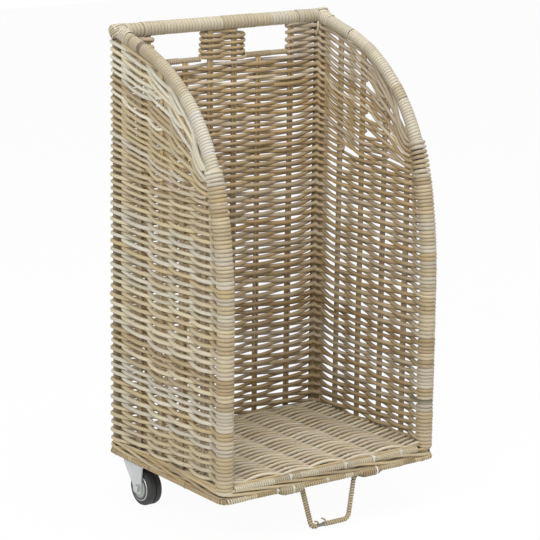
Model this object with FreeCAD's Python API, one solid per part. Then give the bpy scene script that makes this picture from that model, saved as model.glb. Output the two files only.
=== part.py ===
import FreeCAD, Part
import math
import os

# Wicker log carrier: a welded steel tube frame, staked and woven with rattan and bound with cane.
# It rolls on two swivel castors at the back and stands on a cane-wrapped wire loop at the front.
# Millimetres, +X right, +Y to the back, +Z up, origin on the ground under the middle of the basket.

# Steel frame
POST_SPAN_X = 420.0  # between post axes, left to right
POST_SPAN_Y = 310.0  # between post axes, front to back
RAIL_AXIS_Z = 810.0  # top rail above the ground
TUBE_DIAMETER = 16.0  # hoops, back posts and top rail
TUBE_WALL = 1.5
LOWER_BEND_RADIUS = 800.0  # slow bend of a hoop above its upright
LOWER_BEND_ANGLE = 14.0
MAIN_BEND_RADIUS = 290.0  # shoulder of a hoop
RIM_SLOPE = 15.0  # fall of a hoop's straight end, in degrees
BASE_TUBE = 16.0  # square tube of the base frame
BASE_TUBE_WALL = 1.5
GUSSET_SIZE = 52.0
GUSSET_THICKNESS = 4.0

# Cane wraps round the frame, outside diameters
POST_WRAP_DIAMETER = 30.0  # weavers turned round the front posts
POST_WRAP_BEND = 9.0  # degrees of the shoulder that they climb
POST_WRAP_START = 2.0  # their lowest turn above the base frame
CORNER_WRAP_DIAMETER = 30.0  # weavers turned round the back posts
RIM_WRAP_DIAMETER = 22.0
RAIL_WRAP_DIAMETER = 20.0
BINDING_DIAMETER = 25.0  # knot over each top corner
BINDING_REACH = 30.0  # how far a knot runs forward along its hoop
BINDING_DROP = 25.0  # and down its back post
BINDING_CAP = 7.0  # cane over the rail's end

# Woven panels
WALL_THICKNESS = 19.0
FLOOR_THICKNESS = 11.0
CANE_DIAMETER = 5.0  # one cane of a twin stake
CANE_WEB = 0.8  # between the two canes of a stake
COURSES = 40  # bands of weave in the height of a wall, each for two or three rows of rattan
COURSE_FLAT = 16.0  # length of a band that lies straight past a stake
SIDE_STAKES = 4
SIDE_STAKE_PITCH = 62.0
BACK_STAKE_INNER_X = 25.0
BACK_STAKE_MIDDLE_X = 76.0
BACK_STAKE_MARGIN = 8.0  # outer back stakes beyond the hand holes
FLOOR_STAKES = 5
FLOOR_STAKE_PITCH = 66.0

# Hand holes in the back panel
HOLE_INNER_X = 50.0
HOLE_WIDTH = 88.0
HOLE_HEIGHT = 43.0
SILL_DIAMETER = 10.0

# Rods round the base
FLOOR_RIM_DIAMETER = 11.0
BASE_RAIL_DIAMETER = 10.0
BASE_RAIL_OUTSET = 2.5  # rail axis outside the tube's axis
WALE_DIAMETER = 6.0
WALE_DROP = 2.5  # top of the wale below the top of the base tube

# Wire stand
STAND_WIRE_DIAMETER = 6.0
STAND_WRAP_DIAMETER = 8.6
STAND_FLAT_DEPTH = 0.25  # worn flat that the basket stands on
STAND_OFFSET_X = 5.0
STAND_TOP_WIDTH = 103.0
STAND_FOOT_WIDTH = 72.0
STAND_FOOT_SHIFT = 4.0
STAND_TOP_BEND = 9.0
STAND_FOOT_BEND = 10.0
STAND_TAIL = 46.0  # each wire end along the base rail
STAND_BINDING_WALL = 1.2

# Swivel castors
CASTOR_HEIGHT = 81.0  # ground to the gusset
WHEEL_DIAMETER = 63.0
TYRE_WIDTH = 26.0
TYRE_SHOULDER = 4.5
TREAD_GROOVE_WIDTH = 3.0
TREAD_GROOVE_DEPTH = 1.5
WHEEL_RIM_DIAMETER = 44.0
WHEEL_RIM_THICKNESS = 5.0
WHEEL_RIM_WIDTH = 22.0
WHEEL_WEB_WIDTH = 9.0
WHEEL_HUB_DIAMETER = 18.0
CASTOR_TRAIL = 24.0  # axle ahead of the swivel axis
FORK_GAP = 30.0
FORK_WALL = 2.5
FORK_BEND_RADIUS = 2.0
FORK_REAR = 20.0  # crown behind the swivel axis
FORK_EYE_RADIUS = 11.0  # leg round the axle
GUARD_DIAMETER = 42.0
GUARD_THICKNESS = 1.6
HEAD_DIAMETER = 40.0  # upper race
HEAD_THICKNESS = 3.0
HEAD_SKIRT_WALL = 2.8
HEAD_SKIRT_DEPTH = 3.5
RING_DIAMETER = 32.4  # lower race
RING_HEIGHT = 5.1
KINGPIN_DIAMETER = 10.0
KINGPIN_FLATS = 16.0
KINGPIN_HEAD = 6.0
KINGPIN_NUT = 8.0
AXLE_DIAMETER = 8.0
AXLE_FLATS = 13.0
AXLE_HEAD = 5.3
AXLE_NUT = 6.5
BOLT_TAIL = 2.0  # thread past a nut

# Clearances
WELD_GAP = 0.2  # tube ends fitted for welding
WRAP_GAP = 0.3  # between cane or weave and its neighbour
KNOT_GAP = 0.25  # extra room where the tubes meet inside a knot
RAIL_GAP = 1.0  # between a castor and a base rail
BOLT_GAP = 0.1
RUNNING_GAP = 0.05  # radial, on the kingpin and the axle
SIDE_GAP = 0.3  # axial, between turning castor pieces

V = FreeCAD.Vector
AXIS_X = V(1, 0, 0)
AXIS_Y = V(0, 1, 0)
AXIS_Z = V(0, 0, 1)
SIDES = (("left", -1), ("right", 1))

# Places that follow from the sizes
post_x = POST_SPAN_X / 2
back_y = POST_SPAN_Y / 2
front_y = -back_y
tube_radius = TUBE_DIAMETER / 2
half_base = BASE_TUBE / 2
base_bottom = CASTOR_HEIGHT + GUSSET_THICKNESS
base_top = base_bottom + BASE_TUBE
wall_half = WALL_THICKNESS / 2
weave_bottom = base_top + WRAP_GAP
floor_top = weave_bottom + FLOOR_THICKNESS
post_wrap_radius = POST_WRAP_DIAMETER / 2
corner_wrap_radius = CORNER_WRAP_DIAMETER / 2
rim_wrap_radius = RIM_WRAP_DIAMETER / 2
rail_wrap_radius = RAIL_WRAP_DIAMETER / 2
binding_radius = BINDING_DIAMETER / 2
core_radius = tube_radius + WRAP_GAP
cane_radius = CANE_DIAMETER / 2
cane_offset = cane_radius + WRAP_GAP + CANE_WEB / 2

# Bends of a hoop, as angles about their centres in the Y-Z plane
lower_end = 180 - LOWER_BEND_ANGLE
wrap_end = lower_end - POST_WRAP_BEND
main_end = 90 + RIM_SLOPE


def round_x(radius, x0, x1, y, z):
    return Part.makeCylinder(radius, x1 - x0, V(x0, y, z), AXIS_X)


def round_y(radius, y0, y1, x, z):
    return Part.makeCylinder(radius, y1 - y0, V(x, y0, z), AXIS_Y)


def round_z(radius, z0, z1, x, y):
    return Part.makeCylinder(radius, z1 - z0, V(x, y, z0), AXIS_Z)


def rod(radius, start, end):
    return Part.makeCylinder(radius, (end - start).Length, start, end - start)


def block(x0, x1, y0, y1, z0, z1):
    return Part.makeBox(x1 - x0, y1 - y0, z1 - z0, V(x0, y0, z0))


def line(start, end):
    return Part.LineSegment(start, end).toShape()


def polygon(points):
    return Part.Face(Part.makePolygon(points + points[:1]))


def hexagon(flats, height, base, direction):
    corner = flats / math.sqrt(3)
    turns = [math.radians(60 * i) for i in range(6)]
    prism = polygon([V(corner * math.cos(t), corner * math.sin(t), 0) for t in turns]).extrude(V(0, 0, height))
    prism.Placement = FreeCAD.Placement(base, FreeCAD.Rotation(AXIS_Z, direction))
    return prism


def swept(edges, radius):
    start = edges[0].valueAt(edges[0].FirstParameter)
    heading = edges[0].tangentAt(edges[0].FirstParameter)
    section = Part.Wire(Part.makeCircle(radius, start, heading))
    return Part.Wire(edges).makePipeShell([section], True, False)


def save(name, *solids):
    shape = solids[0] if len(solids) == 1 else Part.makeCompound(list(solids))
    shape.exportStep(os.path.join("parts", name + ".step"))
    print(f"{name}: {len(shape.Solids)} solids, {shape.Volume / 1000:.2f} cm3, valid {shape.isValid()}")


# Centres of a hoop's two bends, found downwards from the top rail
def turned(degrees):
    return V(0, math.cos(math.radians(degrees)), math.sin(math.radians(degrees)))


lower_span = (turned(lower_end) - turned(180)) * LOWER_BEND_RADIUS
main_span = (turned(main_end) - turned(lower_end)) * MAIN_BEND_RADIUS
rim_run = POST_SPAN_Y - lower_span.y - main_span.y
bend_start_z = RAIL_AXIS_Z - rim_run * math.tan(math.radians(RIM_SLOPE)) - main_span.z - lower_span.z
lower_centre = V(0, front_y + LOWER_BEND_RADIUS, bend_start_z)
main_centre = lower_centre + turned(lower_end) * (LOWER_BEND_RADIUS - MAIN_BEND_RADIUS)


# Stretches of a hoop's line, moved inwards by an inset
def bend(x, centre, radius, first, last):
    middle = (first + last) / 2
    points = [V(x, 0, 0) + centre + turned(angle) * radius for angle in (first, middle, last)]
    return Part.Arc(*points).toShape()


def upright(x, inset, z0):
    return line(V(x, front_y + inset, z0), V(x, front_y + inset, bend_start_z))


def lower_bend(x, inset):
    return bend(x, lower_centre, LOWER_BEND_RADIUS - inset, 180, lower_end)


def main_bend(x, inset, first, last):
    return bend(x, main_centre, MAIN_BEND_RADIUS - inset, first, last)


def rim_point(x, inset, y):
    start = V(x, 0, 0) + main_centre + turned(main_end) * (MAIN_BEND_RADIUS - inset)
    return V(x, y, start.z + (y - start.y) * math.tan(math.radians(RIM_SLOPE)))


def rim_line(x, inset, y1):
    start = V(x, 0, 0) + main_centre + turned(main_end) * (MAIN_BEND_RADIUS - inset)
    return line(start, rim_point(x, inset, y1))


def hoop_line(x):
    return [upright(x, 0, base_top), lower_bend(x, 0), main_bend(x, 0, lower_end, main_end), rim_line(x, 0, back_y)]


# Base frame: square tubes, the side ones whole and the cross ones between them
def base_frame():
    inner = half_base - BASE_TUBE_WALL
    bore_bottom = base_bottom + BASE_TUBE_WALL
    bore_top = base_top - BASE_TUBE_WALL
    end_y = back_y + half_base
    for side, sign in SIDES:
        x = sign * post_x
        tube = block(x - half_base, x + half_base, -end_y, end_y, base_bottom, base_top)
        bore = block(x - inner, x + inner, -end_y, end_y, bore_bottom, bore_top)
        save(f"base_{side}_tube", tube.cut(bore))
    end_x = post_x - half_base - WELD_GAP
    for end, y in (("front", front_y), ("back", back_y)):
        tube = block(-end_x, end_x, y - half_base, y + half_base, base_bottom, base_top)
        bore = block(-end_x, end_x, y - inner, y + inner, bore_bottom, bore_top)
        save(f"base_{end}_tube", tube.cut(bore))


# Hoops, back posts and top rail: round tube, standing on the base frame
def upper_frame():
    bore_radius = tube_radius - TUBE_WALL
    beyond = block(-post_x * 2, post_x * 2, back_y - tube_radius - WELD_GAP, back_y * 2, base_top, RAIL_AXIS_Z * 2)
    for side, sign in SIDES:
        x = sign * post_x
        hoop = swept(hoop_line(x), tube_radius).cut(swept(hoop_line(x), bore_radius))
        save(f"{side}_hoop_tube", hoop.cut(beyond))
        top = RAIL_AXIS_Z - tube_radius - WELD_GAP
        post = round_z(tube_radius, base_top, top, x, back_y)
        save(f"{side}_back_post", post.cut(round_z(bore_radius, base_top, top, x, back_y)))
    end_x = post_x + tube_radius
    rail = round_x(tube_radius, -end_x, end_x, back_y, RAIL_AXIS_Z)
    save("top_rail_tube", rail.cut(round_x(bore_radius, -end_x, end_x, back_y, RAIL_AXIS_Z)))


# Cane round the hoops, the top rail and the top corners
def frame_wraps():
    rim_start = wrap_end - math.degrees(WRAP_GAP / MAIN_BEND_RADIUS)
    knot_y = back_y - BINDING_REACH
    knot_x = post_x - corner_wrap_radius + WRAP_GAP
    drop_z = RAIL_AXIS_Z - BINDING_DROP
    knots = []
    for side, sign in SIDES:
        x = sign * post_x
        turns = [upright(x, 0, base_top + POST_WRAP_START), lower_bend(x, 0), main_bend(x, 0, lower_end, wrap_end)]
        save(f"{side}_front_post_wrap", swept(turns, post_wrap_radius).cut(swept(turns, core_radius)))
        rim = [main_bend(x, 0, rim_start, main_end), rim_line(x, 0, knot_y - WRAP_GAP)]
        save(f"{side}_rim_wrap", swept(rim, rim_wrap_radius).cut(swept(rim, core_radius)))

        corner = V(x, back_y, RAIL_AXIS_Z)
        inner_end = V(sign * knot_x, back_y, RAIL_AXIS_Z)
        drop_end = V(x, back_y, drop_z)
        shoulder_end = rim_point(x, 0, knot_y)
        across = rod(binding_radius, inner_end, corner + V(sign * (tube_radius + BINDING_CAP), 0, 0))
        knot = across.fuse([rod(corner_wrap_radius, drop_end, corner), rod(rim_wrap_radius, shoulder_end, corner)])
        knot = knot.cut(rod(core_radius, inner_end, corner + V(sign * core_radius, 0, 0)))
        post_bore = rod(core_radius + KNOT_GAP, drop_end, corner)
        hoop_bore = rod(core_radius + KNOT_GAP * 2, shoulder_end, corner)
        knots.append(knot.cut([post_bore, hoop_bore]))
        roll = round_z(corner_wrap_radius, weave_bottom, drop_z - WRAP_GAP, x, back_y)
        save(f"{side}_back_corner_weave", roll.cut(round_z(core_radius, weave_bottom, drop_z, x, back_y)))
    save("corner_bindings", *knots)
    wrap_x = knot_x - WRAP_GAP
    rail_wrap = round_x(rail_wrap_radius, -wrap_x, wrap_x, back_y, RAIL_AXIS_Z)
    save("top_rail_wrap", rail_wrap.cut(round_x(core_radius, -wrap_x, wrap_x, back_y, RAIL_AXIS_Z)))


def twin_places(centres):
    return [centre + offset for centre in centres for offset in (-cane_offset, cane_offset)]


def even_places(count, pitch):
    return [pitch * (i - (count - 1) / 2) for i in range(count)]


# Courses of a wall: bands that pass outside one stake and inside the next, and cross between stakes
def courses(panel, stations, place_at):
    inside = cane_radius + WRAP_GAP
    height = (panel.BoundBox.ZMax - weave_bottom) / COURSES
    bands = ([], [])
    for i in range(COURSES):
        outer, inner = [], []
        for k, station in enumerate(stations):
            near, far = (inside, wall_half) if (i + k) % 2 == 0 else (-wall_half, -inside)
            for step in (-COURSE_FLAT / 2, COURSE_FLAT / 2):
                outer.append(place_at(station + step, far, weave_bottom + i * height))
                inner.append(place_at(station + step, near, weave_bottom + i * height))
        band = Part.Face(polygon(outer + inner[::-1])).extrude(V(0, 0, height))
        bands[i % 2].append(band)
    even, odd = [panel.common(Part.makeCompound(stack)) for stack in bands]
    return even.fuse(odd)


# Side panels: weave under each hoop, on twin canes that stand on the base frame
def side_panels():
    post_inset = post_wrap_radius + WRAP_GAP
    rim_inset = rim_wrap_radius + WRAP_GAP
    back_edge = back_y - corner_wrap_radius - WRAP_GAP
    for side, sign in SIDES:
        x = sign * post_x - wall_half
        post_edges = [upright(x, post_inset, weave_bottom), lower_bend(x, post_inset),
                      main_bend(x, post_inset, lower_end, wrap_end)]
        rim_edges = [main_bend(x, rim_inset, wrap_end, main_end), rim_line(x, rim_inset, back_edge)]
        foot = V(x, front_y + post_inset, weave_bottom)
        heel = V(x, back_edge, weave_bottom)
        step = line(post_edges[-1].Vertexes[-1].Point, rim_edges[0].Vertexes[0].Point)
        closing = [line(rim_point(x, rim_inset, back_edge), heel), line(heel, foot)]
        outline = Part.Wire(post_edges + [step] + rim_edges + closing)
        panel = Part.Face(outline).extrude(V(WALL_THICKNESS, 0, 0))
        centres = even_places(SIDE_STAKES, SIDE_STAKE_PITCH)
        stakes = [round_z(cane_radius, base_top, RAIL_AXIS_Z, sign * post_x, y).common(panel)
                  for y in twin_places(centres)]
        save(f"{side}_stakes", *stakes)
        save(f"{side}_weave", courses(panel, [front_y, *centres, back_y],
                                      lambda along, out, z: V(sign * (post_x + out), along, z)))


# Back panel: weave between the corner turns, open above a wrapped sill at each hand hole
def back_panel():
    half_x = post_x - corner_wrap_radius - WRAP_GAP
    panel_top = RAIL_AXIS_Z - rail_wrap_radius - WRAP_GAP
    sill_top = RAIL_AXIS_Z - rail_wrap_radius - HOLE_HEIGHT
    notch_bottom = sill_top - SILL_DIAMETER - WRAP_GAP
    panel = block(-half_x, half_x, back_y - wall_half, back_y + wall_half, weave_bottom, panel_top)
    hole_outer_x = HOLE_INNER_X + HOLE_WIDTH
    sills = []
    for x0 in (HOLE_INNER_X, -hole_outer_x):
        x1 = x0 + HOLE_WIDTH
        panel = panel.cut(block(x0, x1, back_y - wall_half, back_y + wall_half, notch_bottom, panel_top))
        sills.append(round_x(SILL_DIAMETER / 2, x0 + WRAP_GAP, x1 - WRAP_GAP, back_y, sill_top - SILL_DIAMETER / 2))
    half_places = [BACK_STAKE_INNER_X, BACK_STAKE_MIDDLE_X, hole_outer_x + BACK_STAKE_MARGIN]
    centres = [-x for x in half_places[::-1]] + half_places
    stakes = [round_z(cane_radius, base_top, RAIL_AXIS_Z, x, back_y).common(panel) for x in twin_places(centres)]
    save("back_stakes", *stakes)
    save("back_weave", courses(panel, [-post_x, *centres, post_x], lambda along, out, z: V(along, back_y + out, z)))
    save("hand_hole_sills", *sills)


# Floor: a woven mat on the base frame, on twin canes from front to back, with a wrapped front edge
def floor_panel():
    rim_radius = FLOOR_RIM_DIAMETER / 2
    rim_y = front_y
    rim_end_x = post_x - post_wrap_radius - WRAP_GAP
    half_x = post_x - wall_half - WRAP_GAP
    mat_front = rim_y + rim_radius + WRAP_GAP
    mat_back = back_y - wall_half - WRAP_GAP
    mat = block(-half_x, half_x, mat_front, mat_back, weave_bottom, floor_top)
    corners = []
    for _, sign in SIDES:
        corners.append(round_z(post_wrap_radius + WRAP_GAP, base_top, RAIL_AXIS_Z, sign * post_x, front_y))
        corners.append(round_z(corner_wrap_radius + WRAP_GAP, base_top, RAIL_AXIS_Z, sign * post_x, back_y))
    mat = mat.cut(corners)
    z = weave_bottom + FLOOR_THICKNESS / 2
    places = twin_places(even_places(FLOOR_STAKES, FLOOR_STAKE_PITCH))
    save("floor_stakes", *[round_y(cane_radius, mat_front, mat_back, x, z) for x in places])
    save("floor_weave", mat.cut([round_y(cane_radius + WRAP_GAP, mat_front, mat_back, x, z) for x in places]))
    save("floor_rim", round_x(rim_radius, -rim_end_x, rim_end_x, rim_y, weave_bottom + rim_radius))


# Base rails under the frame, and the two wale rods laid along each outer face of it
rail_radius = BASE_RAIL_DIAMETER / 2
rail_axis_x = post_x + BASE_RAIL_OUTSET
rail_axis_y = back_y + BASE_RAIL_OUTSET
rail_axis_z = base_bottom - STAND_BINDING_WALL - 2 * WRAP_GAP - rail_radius


def base_rods():
    end_y = rail_axis_y + rail_radius
    end_x = rail_axis_x - rail_radius - WRAP_GAP
    wale_radius = WALE_DIAMETER / 2
    wale_x = post_x + half_base + WRAP_GAP + wale_radius
    wale_y = back_y + half_base + WRAP_GAP + wale_radius
    upper_z = base_top - WALE_DROP - wale_radius
    heights = (upper_z, upper_z - WALE_DIAMETER - WRAP_GAP)
    for side, sign in SIDES:
        save(f"base_rail_{side}", round_y(rail_radius, -end_y, end_y, sign * rail_axis_x, rail_axis_z))
        reach = back_y + half_base
        save(f"wale_{side}", *[round_y(wale_radius, -reach, reach, sign * wale_x, z) for z in heights])
    for end, sign in (("front", -1), ("back", 1)):
        save(f"base_rail_{end}", round_x(rail_radius, -end_x, end_x, sign * rail_axis_y, rail_axis_z))
        reach = wale_x + wale_radius
        save(f"wale_{end}", *[round_x(wale_radius, -reach, reach, sign * wale_y, z) for z in heights])


# Wire line with rounded corners, as straight edges and tangent arcs
def rounded_line(points, radii):
    edges = []
    start = points[0]
    for before, corner, after, radius in zip(points, points[1:], points[2:], radii):
        inward = (before - corner).normalize()
        outward = (after - corner).normalize()
        half_turn = inward.getAngle(outward) / 2
        reach = radius / math.tan(half_turn)
        towards = (inward + outward).normalize()
        first = corner + inward * reach
        last = corner + outward * reach
        middle = corner + towards * (radius / math.sin(half_turn) - radius)
        edges.append(line(start, first))
        edges.append(Part.Arc(first, middle, last).toShape())
        start = last
    edges.append(line(start, points[-1]))
    return edges


# Stand: one bent wire, its tails bound along the front base rail and its loop wrapped in cane
def stand():
    wire_radius = STAND_WIRE_DIAMETER / 2
    wrap_radius = STAND_WRAP_DIAMETER / 2
    y = -rail_axis_y
    tail_z = rail_axis_z - rail_radius - WRAP_GAP - wire_radius
    foot_z = wrap_radius - STAND_FLAT_DEPTH
    left_top = STAND_OFFSET_X - STAND_TOP_WIDTH / 2
    right_top = STAND_OFFSET_X + STAND_TOP_WIDTH / 2
    foot_middle = STAND_OFFSET_X + STAND_FOOT_SHIFT
    points = [V(left_top - STAND_TAIL, y, tail_z),
              V(left_top, y, tail_z),
              V(foot_middle - STAND_FOOT_WIDTH / 2, y, foot_z),
              V(foot_middle + STAND_FOOT_WIDTH / 2, y, foot_z),
              V(right_top, y, tail_z),
              V(right_top + STAND_TAIL, y, tail_z)]
    edges = rounded_line(points, [STAND_TOP_BEND, STAND_FOOT_BEND, STAND_FOOT_BEND, STAND_TOP_BEND])
    save("stand_wire", swept(edges, wire_radius))
    loop = edges[2:-2]
    wrap = swept(loop, wrap_radius).cut(swept(loop, wire_radius + WRAP_GAP))
    below = block(left_top, right_top, y - wrap_radius * 2, y + wrap_radius * 2, -foot_z, 0)
    save("stand_wrap", wrap.cut(below))

    bindings = []
    rail_hole = rail_radius + WRAP_GAP
    wire_hole = wire_radius + WRAP_GAP
    cheek = wire_hole + STAND_BINDING_WALL
    tails = ((edges[0].Vertexes[0].X, edges[0].Vertexes[-1].X), (edges[-1].Vertexes[0].X, edges[-1].Vertexes[-1].X))
    for x0, x1 in tails:
        sleeve = round_x(rail_hole + STAND_BINDING_WALL, x0, x1, y, rail_axis_z)
        lower = round_x(cheek, x0, x1, y, tail_z)
        waist = block(x0, x1, y - cheek, y + cheek, tail_z, rail_axis_z)
        binding = sleeve.fuse([lower, waist]).removeSplitter()
        holes = [round_x(rail_hole, x0, x1, y, rail_axis_z), round_x(wire_hole, x0, x1, y, tail_z)]
        bindings.append(binding.cut(holes))
    save("stand_bindings", *bindings)


# Castors: bolted through a gusset under each back corner, clear of the base rails
head_radius = HEAD_DIAMETER / 2
castor_x = rail_axis_x - rail_radius - RAIL_GAP - head_radius
castor_y = rail_axis_y - rail_radius - RAIL_GAP - head_radius
axle_y = castor_y - CASTOR_TRAIL
axle_z = WHEEL_DIAMETER / 2
head_bottom = CASTOR_HEIGHT - HEAD_THICKNESS
crown_top = head_bottom - SIDE_GAP - RING_HEIGHT
crown_bottom = crown_top - FORK_WALL
kingpin_radius = KINGPIN_DIAMETER / 2
axle_radius = AXLE_DIAMETER / 2


def turned_about_axle(points, x):
    profile = polygon([V(x + along, axle_y, axle_z + radius) for along, radius in points])
    return profile.revolve(V(x, axle_y, axle_z), AXIS_X, 360)


def fork_leg(x0):
    front = axle_y - FORK_EYE_RADIUS
    rear = castor_y + FORK_REAR
    reach = math.hypot(rear - axle_y, crown_bottom - axle_z)
    slant = math.atan2(crown_bottom - axle_z, rear - axle_y) - math.acos(FORK_EYE_RADIUS / reach)
    middle = (slant - math.pi) / 2

    def eye(angle):
        return V(x0, axle_y + FORK_EYE_RADIUS * math.cos(angle), axle_z + FORK_EYE_RADIUS * math.sin(angle))

    corners = [eye(slant), V(x0, rear, crown_bottom), V(x0, rear, crown_top), V(x0, front, crown_top), eye(-math.pi)]
    edges = [line(a, b) for a, b in zip(corners, corners[1:])]
    edges.append(Part.Arc(eye(-math.pi), eye(middle), eye(slant)).toShape())
    return Part.Face(Part.Wire(edges)).extrude(V(FORK_WALL, 0, 0))


def castor(side, sign):
    x = sign * castor_x
    name = f"castor_{side}_"
    half_gap = FORK_GAP / 2
    half_fork = half_gap + FORK_WALL

    # Fixed to the basket: gusset, upper race and kingpin
    edge_x = castor_x + head_radius
    edge_y = castor_y + head_radius
    left = -edge_x if sign < 0 else edge_x - GUSSET_SIZE
    gusset = block(left, left + GUSSET_SIZE, edge_y - GUSSET_SIZE, edge_y, CASTOR_HEIGHT, base_bottom)
    save(f"gusset_{side}", gusset.cut(round_z(kingpin_radius + BOLT_GAP, CASTOR_HEIGHT, base_bottom, x, castor_y)))
    skirt_bottom = head_bottom - HEAD_SKIRT_DEPTH
    head = round_z(head_radius, skirt_bottom, CASTOR_HEIGHT, x, castor_y)
    cup = round_z(head_radius - HEAD_SKIRT_WALL, skirt_bottom, head_bottom, x, castor_y)
    head_bore = round_z(kingpin_radius + BOLT_GAP, head_bottom, CASTOR_HEIGHT, x, castor_y)
    save(name + "head", head.cut([cup, head_bore]))
    bolt_top = crown_bottom - SIDE_GAP
    bolt_end = base_bottom + KINGPIN_NUT + BOLT_TAIL
    shank = round_z(kingpin_radius, bolt_top, bolt_end, x, castor_y)
    bolt_head = hexagon(KINGPIN_FLATS, KINGPIN_HEAD, V(x, castor_y, bolt_top - KINGPIN_HEAD), AXIS_Z)
    save(name + "kingpin", shank.fuse(bolt_head))

    # Swivelling: fork, lower race, axle bolt and thread guards
    crown = block(x - half_fork, x + half_fork, axle_y - FORK_EYE_RADIUS, castor_y + FORK_REAR, crown_bottom, crown_top)
    fork = crown.fuse([fork_leg(x - half_fork), fork_leg(x + half_gap)]).removeSplitter()
    outer_edges = [e for e in fork.Edges if abs(abs(e.CenterOfMass.x - x) - half_fork) < BOLT_GAP
                   and abs(e.CenterOfMass.z - crown_top) < BOLT_GAP]
    fork = fork.makeFillet(min(FORK_BEND_RADIUS, FORK_WALL - BOLT_GAP), outer_edges)
    pivot = round_z(kingpin_radius + RUNNING_GAP, crown_bottom, crown_top, x, castor_y)
    eyes = round_x(axle_radius + BOLT_GAP, x - half_fork, x + half_fork, axle_y, axle_z)
    save(name + "fork", fork.cut([pivot, eyes]))
    ring = round_z(RING_DIAMETER / 2, crown_top, crown_top + RING_HEIGHT, x, castor_y)
    save(name + "ring", ring.cut(round_z(kingpin_radius + RUNNING_GAP, crown_top, head_bottom, x, castor_y)))
    outward = V(sign, 0, 0)
    outer_face = V(x + sign * half_fork, axle_y, axle_z)
    inner_face = V(x - sign * half_fork, axle_y, axle_z)
    tail = inner_face - outward * (AXLE_NUT + BOLT_TAIL)
    axle = Part.makeCylinder(axle_radius, (outer_face - tail).Length, tail, outward)
    save(name + "axle_bolt", axle.fuse(hexagon(AXLE_FLATS, AXLE_HEAD, outer_face, outward)))
    nut = hexagon(AXLE_FLATS, AXLE_NUT, inner_face, outward * -1)
    save(name + "axle_nut", nut.cut(Part.makeCylinder(axle_radius + BOLT_GAP, AXLE_NUT, inner_face, outward * -1)))
    guard_outer = half_gap - WELD_GAP
    guard_inner = guard_outer - GUARD_THICKNESS
    guards = []
    for x0 in (x + guard_inner, x - guard_outer):
        disc = round_x(GUARD_DIAMETER / 2, x0, x0 + GUARD_THICKNESS, axle_y, axle_z)
        guards.append(disc.cut(round_x(axle_radius + BOLT_GAP, x0, x0 + GUARD_THICKNESS, axle_y, axle_z)))
    save(name + "thread_guards", *guards)

    # Rolling: wheel core and tyre
    hub = guard_inner - SIDE_GAP
    rim_outer = WHEEL_RIM_DIAMETER / 2
    rim_inner = rim_outer - WHEEL_RIM_THICKNESS
    half = ((hub, axle_radius + RUNNING_GAP), (hub, WHEEL_HUB_DIAMETER / 2),
            (WHEEL_WEB_WIDTH / 2, WHEEL_HUB_DIAMETER / 2), (WHEEL_WEB_WIDTH / 2, rim_inner),
            (WHEEL_RIM_WIDTH / 2, rim_inner), (WHEEL_RIM_WIDTH / 2, rim_outer))
    mirrored = [(-along, radius) for along, radius in reversed(half)]
    save(name + "wheel_core", turned_about_axle(list(half) + mirrored, x))
    edge = TYRE_WIDTH / 2
    tread = WHEEL_DIAMETER / 2
    corner = TYRE_SHOULDER * (1 - math.sqrt(0.5))
    half = ((edge, rim_outer + BOLT_GAP), (edge, tread - TYRE_SHOULDER), (edge - corner, tread - corner),
            (edge - TYRE_SHOULDER, tread), (TREAD_GROOVE_WIDTH / 2, tread),
            (TREAD_GROOVE_WIDTH / 2, tread - TREAD_GROOVE_DEPTH))
    mirrored = [(-along, radius) for along, radius in reversed(half)]
    save(name + "tyre", turned_about_axle(list(half) + mirrored, x))


def kingpin_nuts():
    nuts = []
    for _, sign in SIDES:
        base = V(sign * castor_x, castor_y, base_bottom)
        nut = hexagon(KINGPIN_FLATS, KINGPIN_NUT, base, AXIS_Z)
        nuts.append(nut.cut(Part.makeCylinder(kingpin_radius + BOLT_GAP, KINGPIN_NUT, base, AXIS_Z)))
    save("kingpin_nuts", *nuts)


os.makedirs("parts", exist_ok=True)
base_frame()
upper_frame()
frame_wraps()
side_panels()
back_panel()
floor_panel()
base_rods()
stand()
for side, sign in SIDES:
    castor(side, sign)
kingpin_nuts()
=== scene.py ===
import bpy
import bmesh
import math
import numpy as np
from mathutils import Matrix, Vector


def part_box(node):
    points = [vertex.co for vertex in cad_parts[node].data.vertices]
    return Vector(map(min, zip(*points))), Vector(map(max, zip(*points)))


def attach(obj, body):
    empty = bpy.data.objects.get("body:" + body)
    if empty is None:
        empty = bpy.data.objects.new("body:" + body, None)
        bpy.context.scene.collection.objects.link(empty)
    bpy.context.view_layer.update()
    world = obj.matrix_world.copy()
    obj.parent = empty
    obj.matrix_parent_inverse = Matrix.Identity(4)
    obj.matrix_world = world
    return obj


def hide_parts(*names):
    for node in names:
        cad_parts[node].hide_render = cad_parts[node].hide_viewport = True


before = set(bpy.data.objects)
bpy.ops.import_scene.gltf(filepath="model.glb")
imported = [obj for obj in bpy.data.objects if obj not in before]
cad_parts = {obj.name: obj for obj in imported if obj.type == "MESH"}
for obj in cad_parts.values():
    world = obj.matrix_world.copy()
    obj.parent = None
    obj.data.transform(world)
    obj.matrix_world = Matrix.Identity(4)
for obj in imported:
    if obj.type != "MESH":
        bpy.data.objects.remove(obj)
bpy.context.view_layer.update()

scene = bpy.context.scene
scene.view_settings.view_transform = "Standard"


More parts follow.
